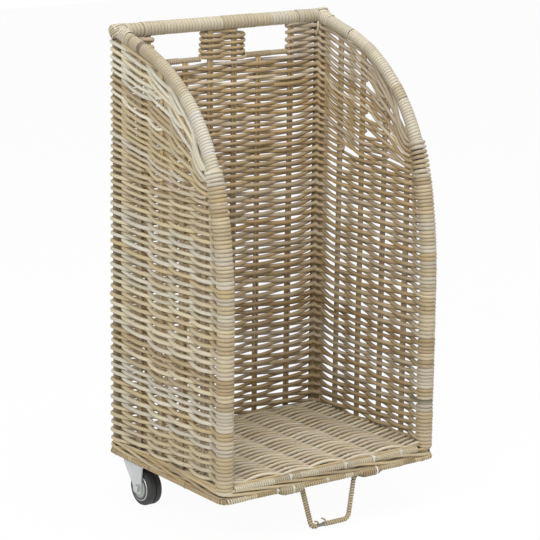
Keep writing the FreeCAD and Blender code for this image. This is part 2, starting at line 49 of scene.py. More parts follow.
# Studio: a plain white floor that keeps a faint shadow, a white surround and three soft lamps.
# The camera stands in front of the basket, to its left and a little above its middle.
FLOOR_SIZE = 12.0
FLOOR_COLOUR = (0.9, 0.9, 0.9, 1)
FLOOR_SHADOW = 0.04  # share of the floor's look that takes the shadow
WHITE = (1, 1, 1, 1)
WORLD_LEVEL = 0.38
LAMP_TARGET = Vector((0, 0, 0.42))
LAMPS = (("key", (-2.4, -1.6, 2.4), 1.5, 62.0),  # place, width and watts
         ("fill", (1.6, -2.8, 1.2), 1.8, 15.0),
         ("top", (0.1, -0.3, 3.0), 1.8, 44.0))
VIEW_AZIMUTH = math.radians(-36.73)
VIEW_ELEVATION = math.radians(13.38)
VIEW_ROLL = math.radians(0.736)
VIEW_TARGET = Vector((-0.008, 0, 0.4105))
VIEW_DISTANCE = 4.075
VIEW_LENS = 161.08
SENSOR_WIDTH = 36.0


def new_material(name):
    material = bpy.data.materials.new(name)
    material.use_nodes = True
    material.node_tree.nodes.clear()
    return material, material.node_tree


def feed(tree, socket, value):
    if isinstance(value, bpy.types.NodeSocket):
        tree.links.new(value, socket)
    else:
        socket.default_value = value


def add_node(tree, kind, operation=None, **inputs):
    # Inputs go by name, with _ for a space, or by their order as _0, _1 and so on
    made = tree.nodes.new(kind)
    if operation:
        made.operation = operation
    for name, value in inputs.items():
        feed(tree, made.inputs[int(name[1:]) if name[0] == "_" else name.replace("_", " ")], value)
    return made


def reckon(tree, operation, *values):
    inputs = {f"_{order}": value for order, value in enumerate(values)}
    return add_node(tree, "ShaderNodeMath", operation, **inputs).outputs[0]


def seen_directly(tree):
    path = add_node(tree, "ShaderNodeLightPath").outputs
    glossy = reckon(tree, "MAXIMUM", path["Is Camera Ray"], path["Is Glossy Ray"])
    return reckon(tree, "MAXIMUM", glossy, path["Is Transmission Ray"])


floor_mesh = bpy.data.meshes.new("studio_floor")
floor_build = bmesh.new()
bmesh.ops.create_grid(floor_build, x_segments=2, y_segments=2, size=FLOOR_SIZE / 2)
floor_build.to_mesh(floor_mesh)
floor_build.free()
studio_floor = bpy.data.objects.new("studio_floor", floor_mesh)
scene.collection.objects.link(studio_floor)
floor_white, tree = new_material("studio_white")
matte = add_node(tree, "ShaderNodeBsdfDiffuse", Color=FLOOR_COLOUR)
glow = add_node(tree, "ShaderNodeEmission", Color=WHITE, Strength=1.0)
share = reckon(tree, "MULTIPLY", seen_directly(tree), 1 - FLOOR_SHADOW)
blend = add_node(tree, "ShaderNodeMixShader", _0=share, _1=matte.outputs[0], _2=glow.outputs[0])
add_node(tree, "ShaderNodeOutputMaterial", Surface=blend.outputs[0])
floor_mesh.materials.append(floor_white)

scene.world = bpy.data.worlds.new("studio_surround")
scene.world.use_nodes = True
tree = scene.world.node_tree
tree.nodes.clear()
ambient = add_node(tree, "ShaderNodeBackground", Color=WHITE, Strength=WORLD_LEVEL)
white = add_node(tree, "ShaderNodeBackground", Color=WHITE, Strength=1.0)
seen = seen_directly(tree)
blend = add_node(tree, "ShaderNodeMixShader", _0=seen, _1=ambient.outputs[0], _2=white.outputs[0])
add_node(tree, "ShaderNodeOutputWorld", Surface=blend.outputs[0])

for name, place, width, watts in LAMPS:
    lamp = bpy.data.lights.new(name + "_lamp", "AREA")
    lamp.size = width
    lamp.energy = watts
    lamp_object = bpy.data.objects.new(name + "_lamp", lamp)
    lamp_object.location = place
    lamp_object.rotation_euler = (LAMP_TARGET - Vector(place)).to_track_quat("-Z", "Y").to_euler()
    scene.collection.objects.link(lamp_object)

back = Vector((math.sin(VIEW_AZIMUTH) * math.cos(VIEW_ELEVATION),
               -math.cos(VIEW_AZIMUTH) * math.cos(VIEW_ELEVATION),
               math.sin(VIEW_ELEVATION)))
level = Vector((math.cos(VIEW_AZIMUTH), math.sin(VIEW_AZIMUTH), 0))
across = level * math.cos(VIEW_ROLL) + back.cross(level) * math.sin(VIEW_ROLL)
upward = back.cross(across)
view = bpy.data.cameras.new("view")
view.lens = VIEW_LENS
view.sensor_width = SENSOR_WIDTH
camera = bpy.data.objects.new("view", view)
turned = Matrix((across, upward, back)).transposed().to_4x4()
camera.matrix_world = Matrix.Translation(VIEW_TARGET + back * VIEW_DISTANCE) @ turned
scene.collection.objects.link(camera)
scene.camera = camera


# Steel frame: square base tubes with two round hoops, back posts and a top rail welded on.
# It is painted mid grey and shows only where the weave leaves gaps.
PAINT_DARK = (0.1, 0.098, 0.096, 1)
PAINT_LIGHT = (0.19, 0.185, 0.18, 1)
FINE_GRAIN = 9  # a coat's grain is this much finer than its clouds
GLOSS_SPREAD = 0.1
COAT_RELIEF = 0.0004


def mixed_colour(tree, share, first, second):
    mix = add_node(tree, "ShaderNodeMix")
    mix.data_type = "RGBA"
    feed(tree, mix.inputs["Factor"], share)
    feed(tree, mix.inputs[6], first)
    feed(tree, mix.inputs[7], second)
    return mix.outputs[2]


def noise(tree, place, scale, detail, roughness=0.5):
    made = add_node(tree, "ShaderNodeTexNoise", Vector=place, Scale=scale, Detail=detail, Roughness=roughness)
    return made.outputs["Fac"]


def ranged(tree, value, **limits):
    return add_node(tree, "ShaderNodeMapRange", Value=value, **limits).outputs[0]


def surface_group(name, **inputs):
    # A node group that puts out the colour, roughness and height of a surface
    group = bpy.data.node_groups.new(name, "ShaderNodeTree")
    outputs = {"Color": "Color", "Roughness": "Float", "Height": "Float"}
    for way, sockets in (("INPUT", inputs), ("OUTPUT", outputs)):
        for socket, kind in sockets.items():
            group.interface.new_socket(socket, in_out=way, socket_type="NodeSocket" + kind)
    return group, group.nodes.new("NodeGroupInput").outputs, group.nodes.new("NodeGroupOutput").inputs


def put_out(group, taken, colour, roughness, height):
    for socket, value in (("Color", colour), ("Roughness", roughness), ("Height", height)):
        group.links.new(value, taken[socket])


def lay_surface(tree, group, inputs, relief, distance, **shader):
    # Places a group in a material, with its own values, and feeds the material's shader from it
    skin = add_node(tree, "ShaderNodeGroup")
    skin.node_tree = group
    for socket, value in inputs.items():
        feed(tree, skin.inputs[socket], value)
    bump = add_node(tree, "ShaderNodeBump", Strength=relief, Distance=distance, Height=skin.outputs["Height"])
    surface = add_node(tree, "ShaderNodeBsdfPrincipled", Base_Color=skin.outputs["Color"],
                       Roughness=skin.outputs["Roughness"], Normal=bump.outputs[0], **shader)
    add_node(tree, "ShaderNodeOutputMaterial", Surface=surface.outputs[0])


# Shared coat of paint, plating, plastic and rubber: clouds of two tones, and a fine grain in the gloss
coat, given, taken = surface_group("clouded_coat", Place="Vector", Dark="Color", Light="Color",
                                   Clouds="Float", Roughness="Float")
cloud = noise(coat, given["Place"], given["Clouds"], detail=6.0, roughness=0.65)
fine = noise(coat, given["Place"], reckon(coat, "MULTIPLY", given["Clouds"], FINE_GRAIN), detail=3.0)
smoothest = reckon(coat, "SUBTRACT", given["Roughness"], GLOSS_SPREAD)
roughest = reckon(coat, "ADD", given["Roughness"], GLOSS_SPREAD)
gloss = ranged(coat, fine, To_Min=smoothest, To_Max=roughest)
put_out(coat, taken, mixed_colour(coat, cloud, given["Dark"], given["Light"]), gloss, fine)


def coated(name, dark, light, clouds, metallic, roughness, relief):
    material, tree = new_material(name)
    place = add_node(tree, "ShaderNodeTexCoord").outputs["Object"]
    inputs = {"Place": place, "Dark": dark, "Light": light, "Clouds": clouds, "Roughness": roughness}
    lay_surface(tree, coat, inputs, relief, COAT_RELIEF, Metallic=metallic)
    return material


def finish_nodes(material, *names):
    for name in names:
        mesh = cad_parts[name].data
        mesh.materials.clear()
        mesh.materials.append(material)


grey_paint = coated("grey_paint", PAINT_DARK, PAINT_LIGHT, clouds=60.0, metallic=0.15, roughness=0.45,
                    relief=0.15)
finish_nodes(grey_paint, "base_left_tube", "base_right_tube", "base_front_tube", "base_back_tube",
             "left_hoop_tube", "right_hoop_tube", "left_back_post", "right_back_post", "top_rail_tube",
             "gusset_left", "gusset_right")

low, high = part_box("left_back_post")
TUBE_RADIUS = (high.x - low.x) / 2
POST_X = -(low.x + high.x) / 2
BACK_Y = (low.y + high.y) / 2
FRONT_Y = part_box("left_hoop_tube")[0].y + TUBE_RADIUS
RAIL_Z = sum(corner.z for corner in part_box("top_rail_tube")) / 2


# Stakes: upright pairs of unpeeled cane that the weavers go round, pushed down beside the base tubes.
# The rattan is grey-brown, each rod of its own tone, with long fibres and a faint ring at each joint.
SIDES = (("left", -1), ("right", 1))
SIDE_STAKES = (-0.093, -0.031, 0.031, 0.093)
BACK_STAKES = (-0.152, -0.076, -0.025, 0.025, 0.076, 0.146)
STAKE_RADIUS = 0.0031
STAKE_SPREAD = (0.9, 1.05)
TWIN_OFFSET = 0.003
STAKE_FOOT = 0.0935
STAKE_TUCK = 0.003  # the side stakes end inside the rims' wraps
RAIL_GAP = 0.009
HOLE_EDGES = (0.05, 0.138)  # a stake between these ends at the sill of a hand hole
SILL_Z = 0.752
SIDE_SWAY = (0.0002, 0.0005, 0)
BACK_SWAY = (0.0005, 0.0002, 0)
SIDE_GREY = np.array((0.96, 1.03, 1.2))  # the side stakes are greyer than those of the back
POST_CANES = 22  # thin canes that stand round each back post
POST_CANE = 0.001
POST_CANE_COVER = 1.3
POST_CANE_GAP = 0.012
POST_CANE_SWAY = (0.0001, 0.0001, 0)
# painted shade: the canes round the back posts are darkened, the left ones most, for the dark holes between
# the rows at the corners
POST_CANE_PAINTED_SHADE = {"left": np.array((0.55, 0.57, 0.6)), "right": 0.8}
RIM_WRAP_RADIUS = 0.011
LOWER_BEND_RADIUS = 0.8
LOWER_BEND = math.radians(14)
MAIN_BEND_RADIUS = 0.29
RIM_SLOPE = math.radians(15)
CANE_POINTS = 24
SWAY_TURNS = (6, 14)
SWAY_START = (0, 6)
TONE_MIX = (0, 0.5)
TONE_SPREAD = (0.9, 1.06)
ROD_SIDES = 8
ROD_END = 0.3  # how far a rod's end bulges, in radii
EDGE_DARK = 0.84  # split cane is darker along its edges
FIBRE_START = (0, 40)
WELD_DISTANCE = 1e-7
THINNEST = 1e-6
FIBRE_STRETCH = (28, 1500, 1500)  # streaks and blotches in a metre, along a rod and across it
BLOTCH_STRETCH = (14, 190, 190)
JOINT_SPACING = 0.21
JOINT_WIDTH = 0.012  # half the width of a ring, in spacings
BRIGHTEST = 1.08
RATTAN_SHEEN = 0.35
FIBRE_RELIEF = 0.0003

chance = np.random.default_rng(20)


def from_screen(red, green, blue):
    steps = np.array((red, green, blue)) / 255
    return np.where(steps < 0.04045, steps / 12.92, ((steps + 0.055) / 1.055) ** 2.4)


def screen_tones(*colours):
    return [from_screen(*colour) for colour in colours]


STAKE_TONES = screen_tones((208, 180, 128), (192, 164, 114), (198, 176, 138), (180, 154, 114))
WORN_GREY = (*from_screen(186, 176, 158), 1)


def pick(tones):
    first, second = chance.integers(0, len(tones), 2)
    mix = chance.uniform(*TONE_MIX)
    return (tones[first] * (1 - mix) + tones[second] * mix) * chance.uniform(*TONE_SPREAD)


def lengths_along(points):
    return np.concatenate([[0], np.cumsum(np.linalg.norm(np.diff(points, axis=0), axis=1))])


def strand(points, radius, tone, flat=None):
    # One rod: its line, its thickness along it, its tone and, for split cane, the way it is flattened
    points = np.asarray(points, float)
    radii = np.broadcast_to(np.asarray(radius, float), (len(points),))

    def beyond(end, inner, radius):
        return end + (end - inner) / np.linalg.norm(end - inner) * radius * ROD_END
    first = beyond(points[0], points[1], radii[0])
    last = beyond(points[-1], points[-2], radii[-1])
    points = np.vstack([first, points, last])
    radii = np.concatenate([[0], radii, [0]])
    if flat is not None:
        axes, factor = flat
        flat = (np.vstack([axes[:1], axes, axes[-1:]]), factor)
    return points, radii, tone, flat


def lay_strands(name, strands, material, replaced=(), shade=None):
    # All rods of a piece as one mesh, with each rod's tone and fibres kept for its material
    curve = bpy.data.curves.new(name, "CURVE")
    curve.dimensions = "3D"
    curve.bevel_depth = 1.0
    curve.bevel_resolution = ROD_SIDES // 2 - 2
    for points, radii, _, _ in strands:
        spline = curve.splines.new("POLY")
        spline.points.add(len(points) - 1)
        spline.points.foreach_set("co", np.column_stack([points, np.ones(len(points))]).ravel())
        spline.points.foreach_set("radius", radii)
    rods = bpy.data.objects.new(name + "_line", curve)
    scene.collection.objects.link(rods)
    depsgraph = bpy.context.evaluated_depsgraph_get()
    mesh = bpy.data.meshes.new_from_object(rods.evaluated_get(depsgraph), depsgraph=depsgraph)
    bpy.data.objects.remove(rods)
    bpy.data.curves.remove(curve)

    places = np.empty(len(mesh.vertices) * 3)
    mesh.vertices.foreach_get("co", places)
    places = places.reshape(-1, ROD_SIDES, 3)
    tones = np.ones((len(places), ROD_SIDES, 4))
    fibre = np.empty((len(places), ROD_SIDES, 3))
    turn = np.arange(ROD_SIDES) * 2 * math.pi / ROD_SIDES
    ring = 0
    for points, radii, tone, flat in strands:
        rings = slice(ring, ring + len(points))
        ring += len(points)
        tones[rings, :, :3] = tone
        if flat is not None:
            axes, factor = flat
            offset = places[rings] - points[:, None, :]
            depth = np.einsum("nsk,nk->ns", offset, axes)
            places[rings] -= (1 - factor) * depth[:, :, None] * axes[:, None, :]
            edge = 1 - np.abs(depth) / np.maximum(radii, THINNEST)[:, None]
            tones[rings, :, :3] *= 1 - EDGE_DARK * edge[:, :, None]
        fibre[rings, :, 0] = (chance.uniform(*FIBRE_START) + lengths_along(points))[:, None]
        fibre[rings, :, 1] = max(radii) * np.cos(turn)
        fibre[rings, :, 2] = max(radii) * np.sin(turn)
    if shade:
        tones[:, :, :3] *= shade(places)
    mesh.vertices.foreach_set("co", places.ravel())
    mesh.attributes.new("tint", "FLOAT_COLOR", "POINT").data.foreach_set("color", tones.ravel())
    mesh.attributes.new("fibre", "FLOAT_VECTOR", "POINT").data.foreach_set("vector", fibre.ravel())
    build = bmesh.new()
    build.from_mesh(mesh)
    bmesh.ops.remove_doubles(build, verts=build.verts, dist=WELD_DISTANCE)
    build.to_mesh(mesh)
    build.free()
    mesh.materials.clear()
    mesh.materials.append(material)
    piece = bpy.data.objects.new(name, mesh)
    scene.collection.objects.link(piece)
    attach(piece, "basket")
    if replaced:
        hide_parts(*replaced)


# Shared grain of rattan and cane, read along each rod: fibre streaks, blotches of grey and joint rings
grain, given, taken = surface_group("rattan_grain", Tint="Color", Fibre="Vector", Streak="Float",
                                    Grey="Float", Joint="Float")
drawn_out = add_node(grain, "ShaderNodeVectorMath", "MULTIPLY", _0=given["Fibre"], _1=FIBRE_STRETCH)
streak = noise(grain, drawn_out.outputs[0], 1.0, detail=4.0, roughness=0.6)
spread = add_node(grain, "ShaderNodeVectorMath", "MULTIPLY", _0=given["Fibre"], _1=BLOTCH_STRETCH)
blotch = noise(grain, spread.outputs[0], 1.0, detail=3.0)
along = add_node(grain, "ShaderNodeSeparateXYZ", Vector=given["Fibre"]).outputs["X"]
cycle = reckon(grain, "FRACT", reckon(grain, "MULTIPLY", along, 1 / JOINT_SPACING))
away = reckon(grain, "ABSOLUTE", reckon(grain, "SUBTRACT", cycle, 0.5))
joint = ranged(grain, away, From_Max=JOINT_WIDTH, To_Min=1.0, To_Max=0.0)
streak_loss = reckon(grain, "MULTIPLY", ranged(grain, streak, From_Min=0.3, From_Max=0.7), given["Streak"])
joint_loss = reckon(grain, "MULTIPLY", joint, given["Joint"])
keep = reckon(grain, "SUBTRACT", BRIGHTEST, reckon(grain, "MAXIMUM", streak_loss, joint_loss))
streaked = add_node(grain, "ShaderNodeVectorMath", "SCALE", _0=given["Tint"], Scale=keep).outputs[0]
worn = reckon(grain, "MULTIPLY", ranged(grain, blotch, From_Min=0.48, From_Max=0.72), given["Grey"])
gloss = ranged(grain, streak, To_Min=0.36, To_Max=0.72)
raised = reckon(grain, "ADD", streak, joint)
put_out(grain, taken, mixed_colour(grain, worn, streaked, WORN_GREY), gloss, raised)


def rattan(name, streak, grey, joint, relief):
    material, tree = new_material(name)
    inputs = {"Streak": streak, "Grey": grey, "Joint": joint}
    for socket, output in (("Tint", "Color"), ("Fibre", "Vector")):
        kept = add_node(tree, "ShaderNodeAttribute")
        kept.attribute_name = socket.lower()
        inputs[socket] = kept.outputs[output]
    lay_surface(tree, grain, inputs, relief, FIBRE_RELIEF, Specular_IOR_Level=RATTAN_SHEEN)
    return material


lower_depth = LOWER_BEND_RADIUS * (1 - math.cos(LOWER_BEND))
main_depth = MAIN_BEND_RADIUS * (math.cos(LOWER_BEND) - math.sin(RIM_SLOPE))
rim_rise = (BACK_Y - FRONT_Y - lower_depth - main_depth) * math.tan(RIM_SLOPE)
main_rise = MAIN_BEND_RADIUS * (math.cos(RIM_SLOPE) - math.sin(LOWER_BEND))
bend_start_z = RAIL_Z - rim_rise - main_rise - LOWER_BEND_RADIUS * math.sin(LOWER_BEND)
main_y = FRONT_Y + LOWER_BEND_RADIUS - (LOWER_BEND_RADIUS - MAIN_BEND_RADIUS) * math.cos(LOWER_BEND)
main_z = bend_start_z + (LOWER_BEND_RADIUS - MAIN_BEND_RADIUS) * math.sin(LOWER_BEND)


def under_rim(y, gap):
    # Height of the line that runs below a hoop at a distance from its axis
    inner = MAIN_BEND_RADIUS - gap
    start_y = main_y - inner * math.sin(RIM_SLOPE)
    if y > start_y:
        return main_z + inner * math.cos(RIM_SLOPE) + (y - start_y) * math.tan(RIM_SLOPE)
    return main_z + math.sqrt(max(inner ** 2 - (main_y - y) ** 2, 0))


def cane_line(start, end, sway):
    steps = np.linspace(0, 1, CANE_POINTS)[:, None]
    points = np.asarray(start) * (1 - steps) + np.asarray(end) * steps
    return points + np.sin(steps * chance.uniform(*SWAY_TURNS, 3) + chance.uniform(*SWAY_START, 3)) * sway


def stake_cane(x, y, top, sway, shade):
    line = cane_line((x, y, STAKE_FOOT), (x, y, top), sway)
    return strand(line, STAKE_RADIUS * chance.uniform(*STAKE_SPREAD), pick(STAKE_TONES) * shade)


stake_rods = {"left": [], "right": [], "back": []}
for y in SIDE_STAKES:
    for offset in (-TWIN_OFFSET, TWIN_OFFSET):
        top = under_rim(y + offset, RIM_WRAP_RADIUS - STAKE_TUCK)
        for side, sign in SIDES:
            stake_rods[side].append(stake_cane(sign * POST_X, y + offset, top, SIDE_SWAY, SIDE_GREY))
for x in BACK_STAKES:
    top = SILL_Z if HOLE_EDGES[0] < abs(x) < HOLE_EDGES[1] else RAIL_Z - RAIL_GAP
    for offset in (-TWIN_OFFSET, TWIN_OFFSET):
        stake_rods["back"].append(stake_cane(x + offset, BACK_Y, top, BACK_SWAY, 1))
for side, sign in SIDES:
    for angle in np.linspace(0, 2 * math.pi, POST_CANES, endpoint=False):
        x = sign * POST_X + (TUBE_RADIUS + POST_CANE) * math.cos(angle)
        y = BACK_Y + (TUBE_RADIUS + POST_CANE) * math.sin(angle)
        line = cane_line((x, y, STAKE_FOOT), (x, y, RAIL_Z - POST_CANE_GAP), POST_CANE_SWAY)
        # each cane is darkened as painted shade
        tone = pick(STAKE_TONES) * POST_CANE_PAINTED_SHADE[side]
        stake_rods[side].append(strand(line, POST_CANE * POST_CANE_COVER, tone))
stake_rattan = rattan("stake_rattan", streak=0.4, grey=0.3, joint=0.4, relief=0.5)
for wall, rods in stake_rods.items():
    lay_strands(wall + "_stake_canes", rods, stake_rattan, (wall + "_stakes",))


# Woven courses: round rattan weavers going over one stake and under the next, along the left side,
# across the back and along the right side. Each turns round a front post and comes back as the next row.
WEAVER_RADIUS = 0.0031
WEAVER_SPREAD = 0.00026
WEAVER_LIMITS = (0.0027, 0.0038)
ROWS_ALIKE = (1, 4)  # one to three rows follow each other in one thickness
ROWS_DRAWN = 140
STOUT_ROWS = 55  # the lowest rows are of thicker rattan
STOUT = 0.11
THINNING_ROWS = 20
PACKING = 0.93  # distance between rows that touch, in thicknesses
WEAVE_BOTTOM = 0.1013
TOP_ROW = 0.8002
ROW_RISE = 0.018  # rows climb this much from the front post to the back post
ROW_RISE_ROWS = 22
ROW_CURVE = 1.8
HOLE_BAND = 0.745  # rows above this stop at the hand holes
FAN_START = 0.585  # height at the back where rows begin to slope with the rim
FAN_REACH = (0.34, 0.68, 0.87, 1.0)  # share of the fan's rows that get as far forward as each side stake
FAN_POST = 0.2  # and to the front post
FAN_MIXING = 0.618
FAN_DEPTH = 0.8  # rods lie flatter in the fan
FAN_GAP = 0.001
FAN_LAST = 0.4
WEDGE_TOP = 0.613  # the fan's lowest rows turn back at the rearmost stake
REAR_SLOPE = 0.12  # slope of rows next to a back post, what the fan adds and what the top takes away
FAN_SLOPE = 0.26
TOP_SLOPE = 0.06
FAN_SLOPE_HEIGHTS = (0.56, 0.18)  # where each change starts, and over what height
TOP_SLOPE_HEIGHTS = (0.75, 0.05)
ROW_SWAY = 0.0008
FAN_SWAY = 0.0003
DEPTH_SWAY = 0.0002
SIDE_STATIONS = 16  # places that a row passes: four stakes, a post, six stakes, a post and four stakes
BACK_STATION = 6
POST_STATION = {-1: 5, 1: 12}
WRAP_TOP = {-1: 0.622, 1: 0.636}  # along the left and right hoops
POST_WRAP_RADIUS = 0.0151
POST_EIGHTHS = 13
CLIMB_START = 3.2  # the eighth where a turn starts to climb to the next row, and how many that takes
CLIMB_EIGHTHS = 5.6
STAKE_WIDTH = TWIN_OFFSET + STAKE_RADIUS
CORNER_GAP = 0.0003
CORNER_PLAY = 1.05
CORNER_SPREAD = {-1: 0.95, 1: 1.45}  # rods flatten where they bend round the right back post
CORNER_TURN = 0.013
CORNER_INSET = 0.0013
CORNER_RISE = {-1: 0.0, 1: 0.0065}  # rows ride up where they meet at the right back post
RISE_HEIGHTS = (WEAVE_BOTTOM, 0.2, 0.68, TOP_ROW)
# Near the left (-1) and right (1) back posts some rods cross the wall's middle early, this far from the
# post's axis: on each wall the inner ones (-1), the outer ones (1) or both
CORNER_CROSS = {-1: 0.0135, 1: 0.021}
EARLY_CROSS = {(-1, "side"): (-1,), (-1, "back"): (-1,), (1, "side"): (-1, 1), (1, "back"): (1,)}
CROSS_SLANT = {-1: 1.0, 1: 0.3}
SURFACE_AT = 0.02  # the left post's inner rods come to the outside of the wall this far from it
SURFACE_OUT = 0.005
SURFACE_SLANT = 0.25
SURFACE_THIN = 0.95
ROD_STEP = 0.0075
WEAVER_LENGTHS = (0.9, 2.4)
BAND_LENGTHS = (0.5, 1.3)  # weavers beside the left hand hole
WEAVER_TAIL = (0.006, 0.013)
TAIL_LAP = 0.9  # two ends lie this many radii above and below their row
LEAST_STATIONS = 6
WALL_DEPTH = 0.01
THICKNESS_SPREAD = (0.95, 1.04)
OWN_TONE = 0.9
RATTAN_TONES = screen_tones(
    (222, 208, 176), (214, 199, 166), (205, 187, 148), (196, 174, 132), (190, 172, 138),
    (212, 202, 182), (203, 194, 178), (178, 156, 118), (226, 217, 196), (186, 164, 128))
MEAN_TONE = sum(RATTAN_TONES) / len(RATTAN_TONES)
POST_TONE = np.array((0.88, 0.87, 0.85))
INSIDE_BROWN_AND_SHADE = np.array((0.84, 0.76, 0.65))  # the rods are browner inside, and darker there as painted shade
LEFT_OUTSIDE_PALE_AND_LIT = np.array((1.06, 1.1, 1.13))  # and palest on the outside of the left wall, partly paler tone and partly painted light on the side that faces the key lamp
SHADE_DEPTH = 0.003
POST_REACH = 0.03
WALL_REACH = 0.02
RIGHT_HEIGHTS = (0.35, 0.65)  # painted shade: the right wall is darkest low down
RIGHT_PAINTED_SHADES = (0.86, 1.0)
STAIN_BAND = (0.182, 0.188)  # heights of a dark mark on the right front post
STAIN_SHADE = 0.4
WALL_NODES = ("left_weave", "right_weave", "back_weave", "left_front_post_wrap", "right_front_post_wrap",
              "left_back_corner_weave", "right_back_corner_weave")

row_radius = []
while len(row_radius) < ROWS_DRAWN:
    thick = np.clip(chance.normal(WEAVER_RADIUS, WEAVER_SPREAD), *WEAVER_LIMITS)
    stout = STOUT * np.clip((STOUT_ROWS + THINNING_ROWS - len(row_radius)) / THINNING_ROWS, 0, 1)
    row_radius += [thick * (1 + stout)] * int(chance.integers(*ROWS_ALIKE))
front_height = [WEAVE_BOTTOM + row_radius[0]]
back_height = [WEAVE_BOTTOM + row_radius[0]]
while back_height[-1] < TOP_ROW:
    i = len(front_height)
    front_height.append(front_height[-1] + (row_radius[i - 1] + row_radius[i]) * PACKING)
    back_height.append(front_height[-1] + ROW_RISE * min(1, i / ROW_RISE_ROWS))
if len(back_height) % 2 == 0:
    front_height.pop()
    back_height.pop()
rows = len(back_height)
stretch = (TOP_ROW - WEAVE_BOTTOM) / (back_height[-1] - WEAVE_BOTTOM)
front_height = [WEAVE_BOTTOM + (z - WEAVE_BOTTOM) * stretch for z in front_height]
back_height = [WEAVE_BOTTOM + (z - WEAVE_BOTTOM) * stretch for z in back_height]
fan_first = next(i for i in range(rows) if back_height[i] > FAN_START)
band_first = next(i for i in range(1, rows, 2) if back_height[i] > HOLE_BAND)


def low_row(i, y):
    # Height along a side of a row below the fan
    share = (BACK_Y - y) / (BACK_Y - FRONT_Y)
    return back_height[i] - (back_height[i] - front_height[i]) * (1 - (1 - share) ** ROW_CURVE)


def pair_top(i, sign):
    # Upper row of the hairpin that row i belongs to at the front of a side
    starts_pair = i % 2 == (1 if sign < 0 else 0)
    return min(i + 1, rows - 1) if starts_pair else i


def reaches(i, sign, share):
    # Short hairpins lie between long ones, so that the rows of the fan stay evenly spread
    top = pair_top(i, sign)
    if i < fan_first or top == fan_first:
        return True
    if back_height[top] < WEDGE_TOP:
        return share == FAN_REACH[3]
    return (rows - 1 - top) // 2 * FAN_MIXING % 1 * FAN_REACH[2] < share


def ease(t):
    return t * t * (3 - 2 * t)


def rear_slope(z):
    # Slope of the rows next to a back post, steepest in the middle of the fan
    (fan_z, fan_over), (top_z, top_over) = FAN_SLOPE_HEIGHTS, TOP_SLOPE_HEIGHTS
    steepen = ease(np.clip((z - fan_z) / fan_over, 0, 1))
    return REAR_SLOPE + FAN_SLOPE * steepen - TOP_SLOPE * np.clip((z - top_z) / top_over, 0, 1)


fan_heights = {}
for sign in (-1, 1):
    for stake, reach in enumerate(FAN_REACH):
        y = SIDE_STAKES[stake]
        alive = [i for i in range(fan_first, rows) if reaches(i, sign, reach)]
        floor_z = low_row(fan_first - 1, y)
        ceiling_z = under_rim(y, RIM_WRAP_RADIUS + WEAVER_RADIUS + FAN_GAP)
        for rank, i in enumerate(alive):
            z = floor_z + (ceiling_z - floor_z) * (rank + 1) / (len(alive) + FAN_LAST)
            if stake == len(SIDE_STAKES) - 1:
                z = back_height[i] - rear_slope(back_height[i]) * (BACK_Y - y)
            fan_heights[sign, i, stake] = z
    alive = [i for i in range(fan_first, rows) if reaches(i, sign, FAN_POST)]
    floor_z = low_row(fan_first - 1, FRONT_Y)
    for rank, i in enumerate(alive):
        fan_heights[sign, i, "post"] = floor_z + (WRAP_TOP[sign] - floor_z) * (rank + 1) / len(alive)


def control(place, heading, radius, kind):
    heading = np.asarray(heading, float)
    return [np.asarray(place, float), heading / np.linalg.norm(heading), radius, kind]


def over_or_under(i, station):
    return 1 if (station + i) % 2 == 0 else -1


def side_station(stake, sign):
    return stake + 1 if sign < 0 else SIDE_STATIONS - stake


def side_controls(i, sign, forward):
    # Row i along one side, from the back post to the front or from the front to the back post
    made = []
    for stake, y in enumerate(SIDE_STAKES):
        if not reaches(i, sign, FAN_REACH[stake]):
            continue
        out = over_or_under(i, side_station(stake, sign))
        in_fan = i >= fan_first
        depth = (STAKE_RADIUS + row_radius[i]) * (FAN_DEPTH if in_fan else 1) + chance.normal(0, DEPTH_SWAY)
        z = fan_heights[sign, i, stake] if in_fan else low_row(i, y)
        place = (sign * (POST_X + out * depth), y, z + chance.normal(0, FAN_SWAY if in_fan else ROW_SWAY))
        made.append(control(place, (0, -1 if forward else 1, 0), row_radius[i], "in" if out < 0 else "out"))
    return made[::-1] if forward else made


def back_controls(i, stations, rightward):
    made = []
    for k in stations:
        out = over_or_under(i, BACK_STATION + k)
        depth = STAKE_RADIUS + row_radius[i] + chance.normal(0, DEPTH_SWAY)
        place = (BACK_STAKES[k], BACK_Y + out * depth, back_height[i] + chance.normal(0, ROW_SWAY))
        made.append(control(place, (1 if rightward else -1, 0, 0), row_radius[i], "in" if out < 0 else "out"))
    return made if rightward else made[::-1]


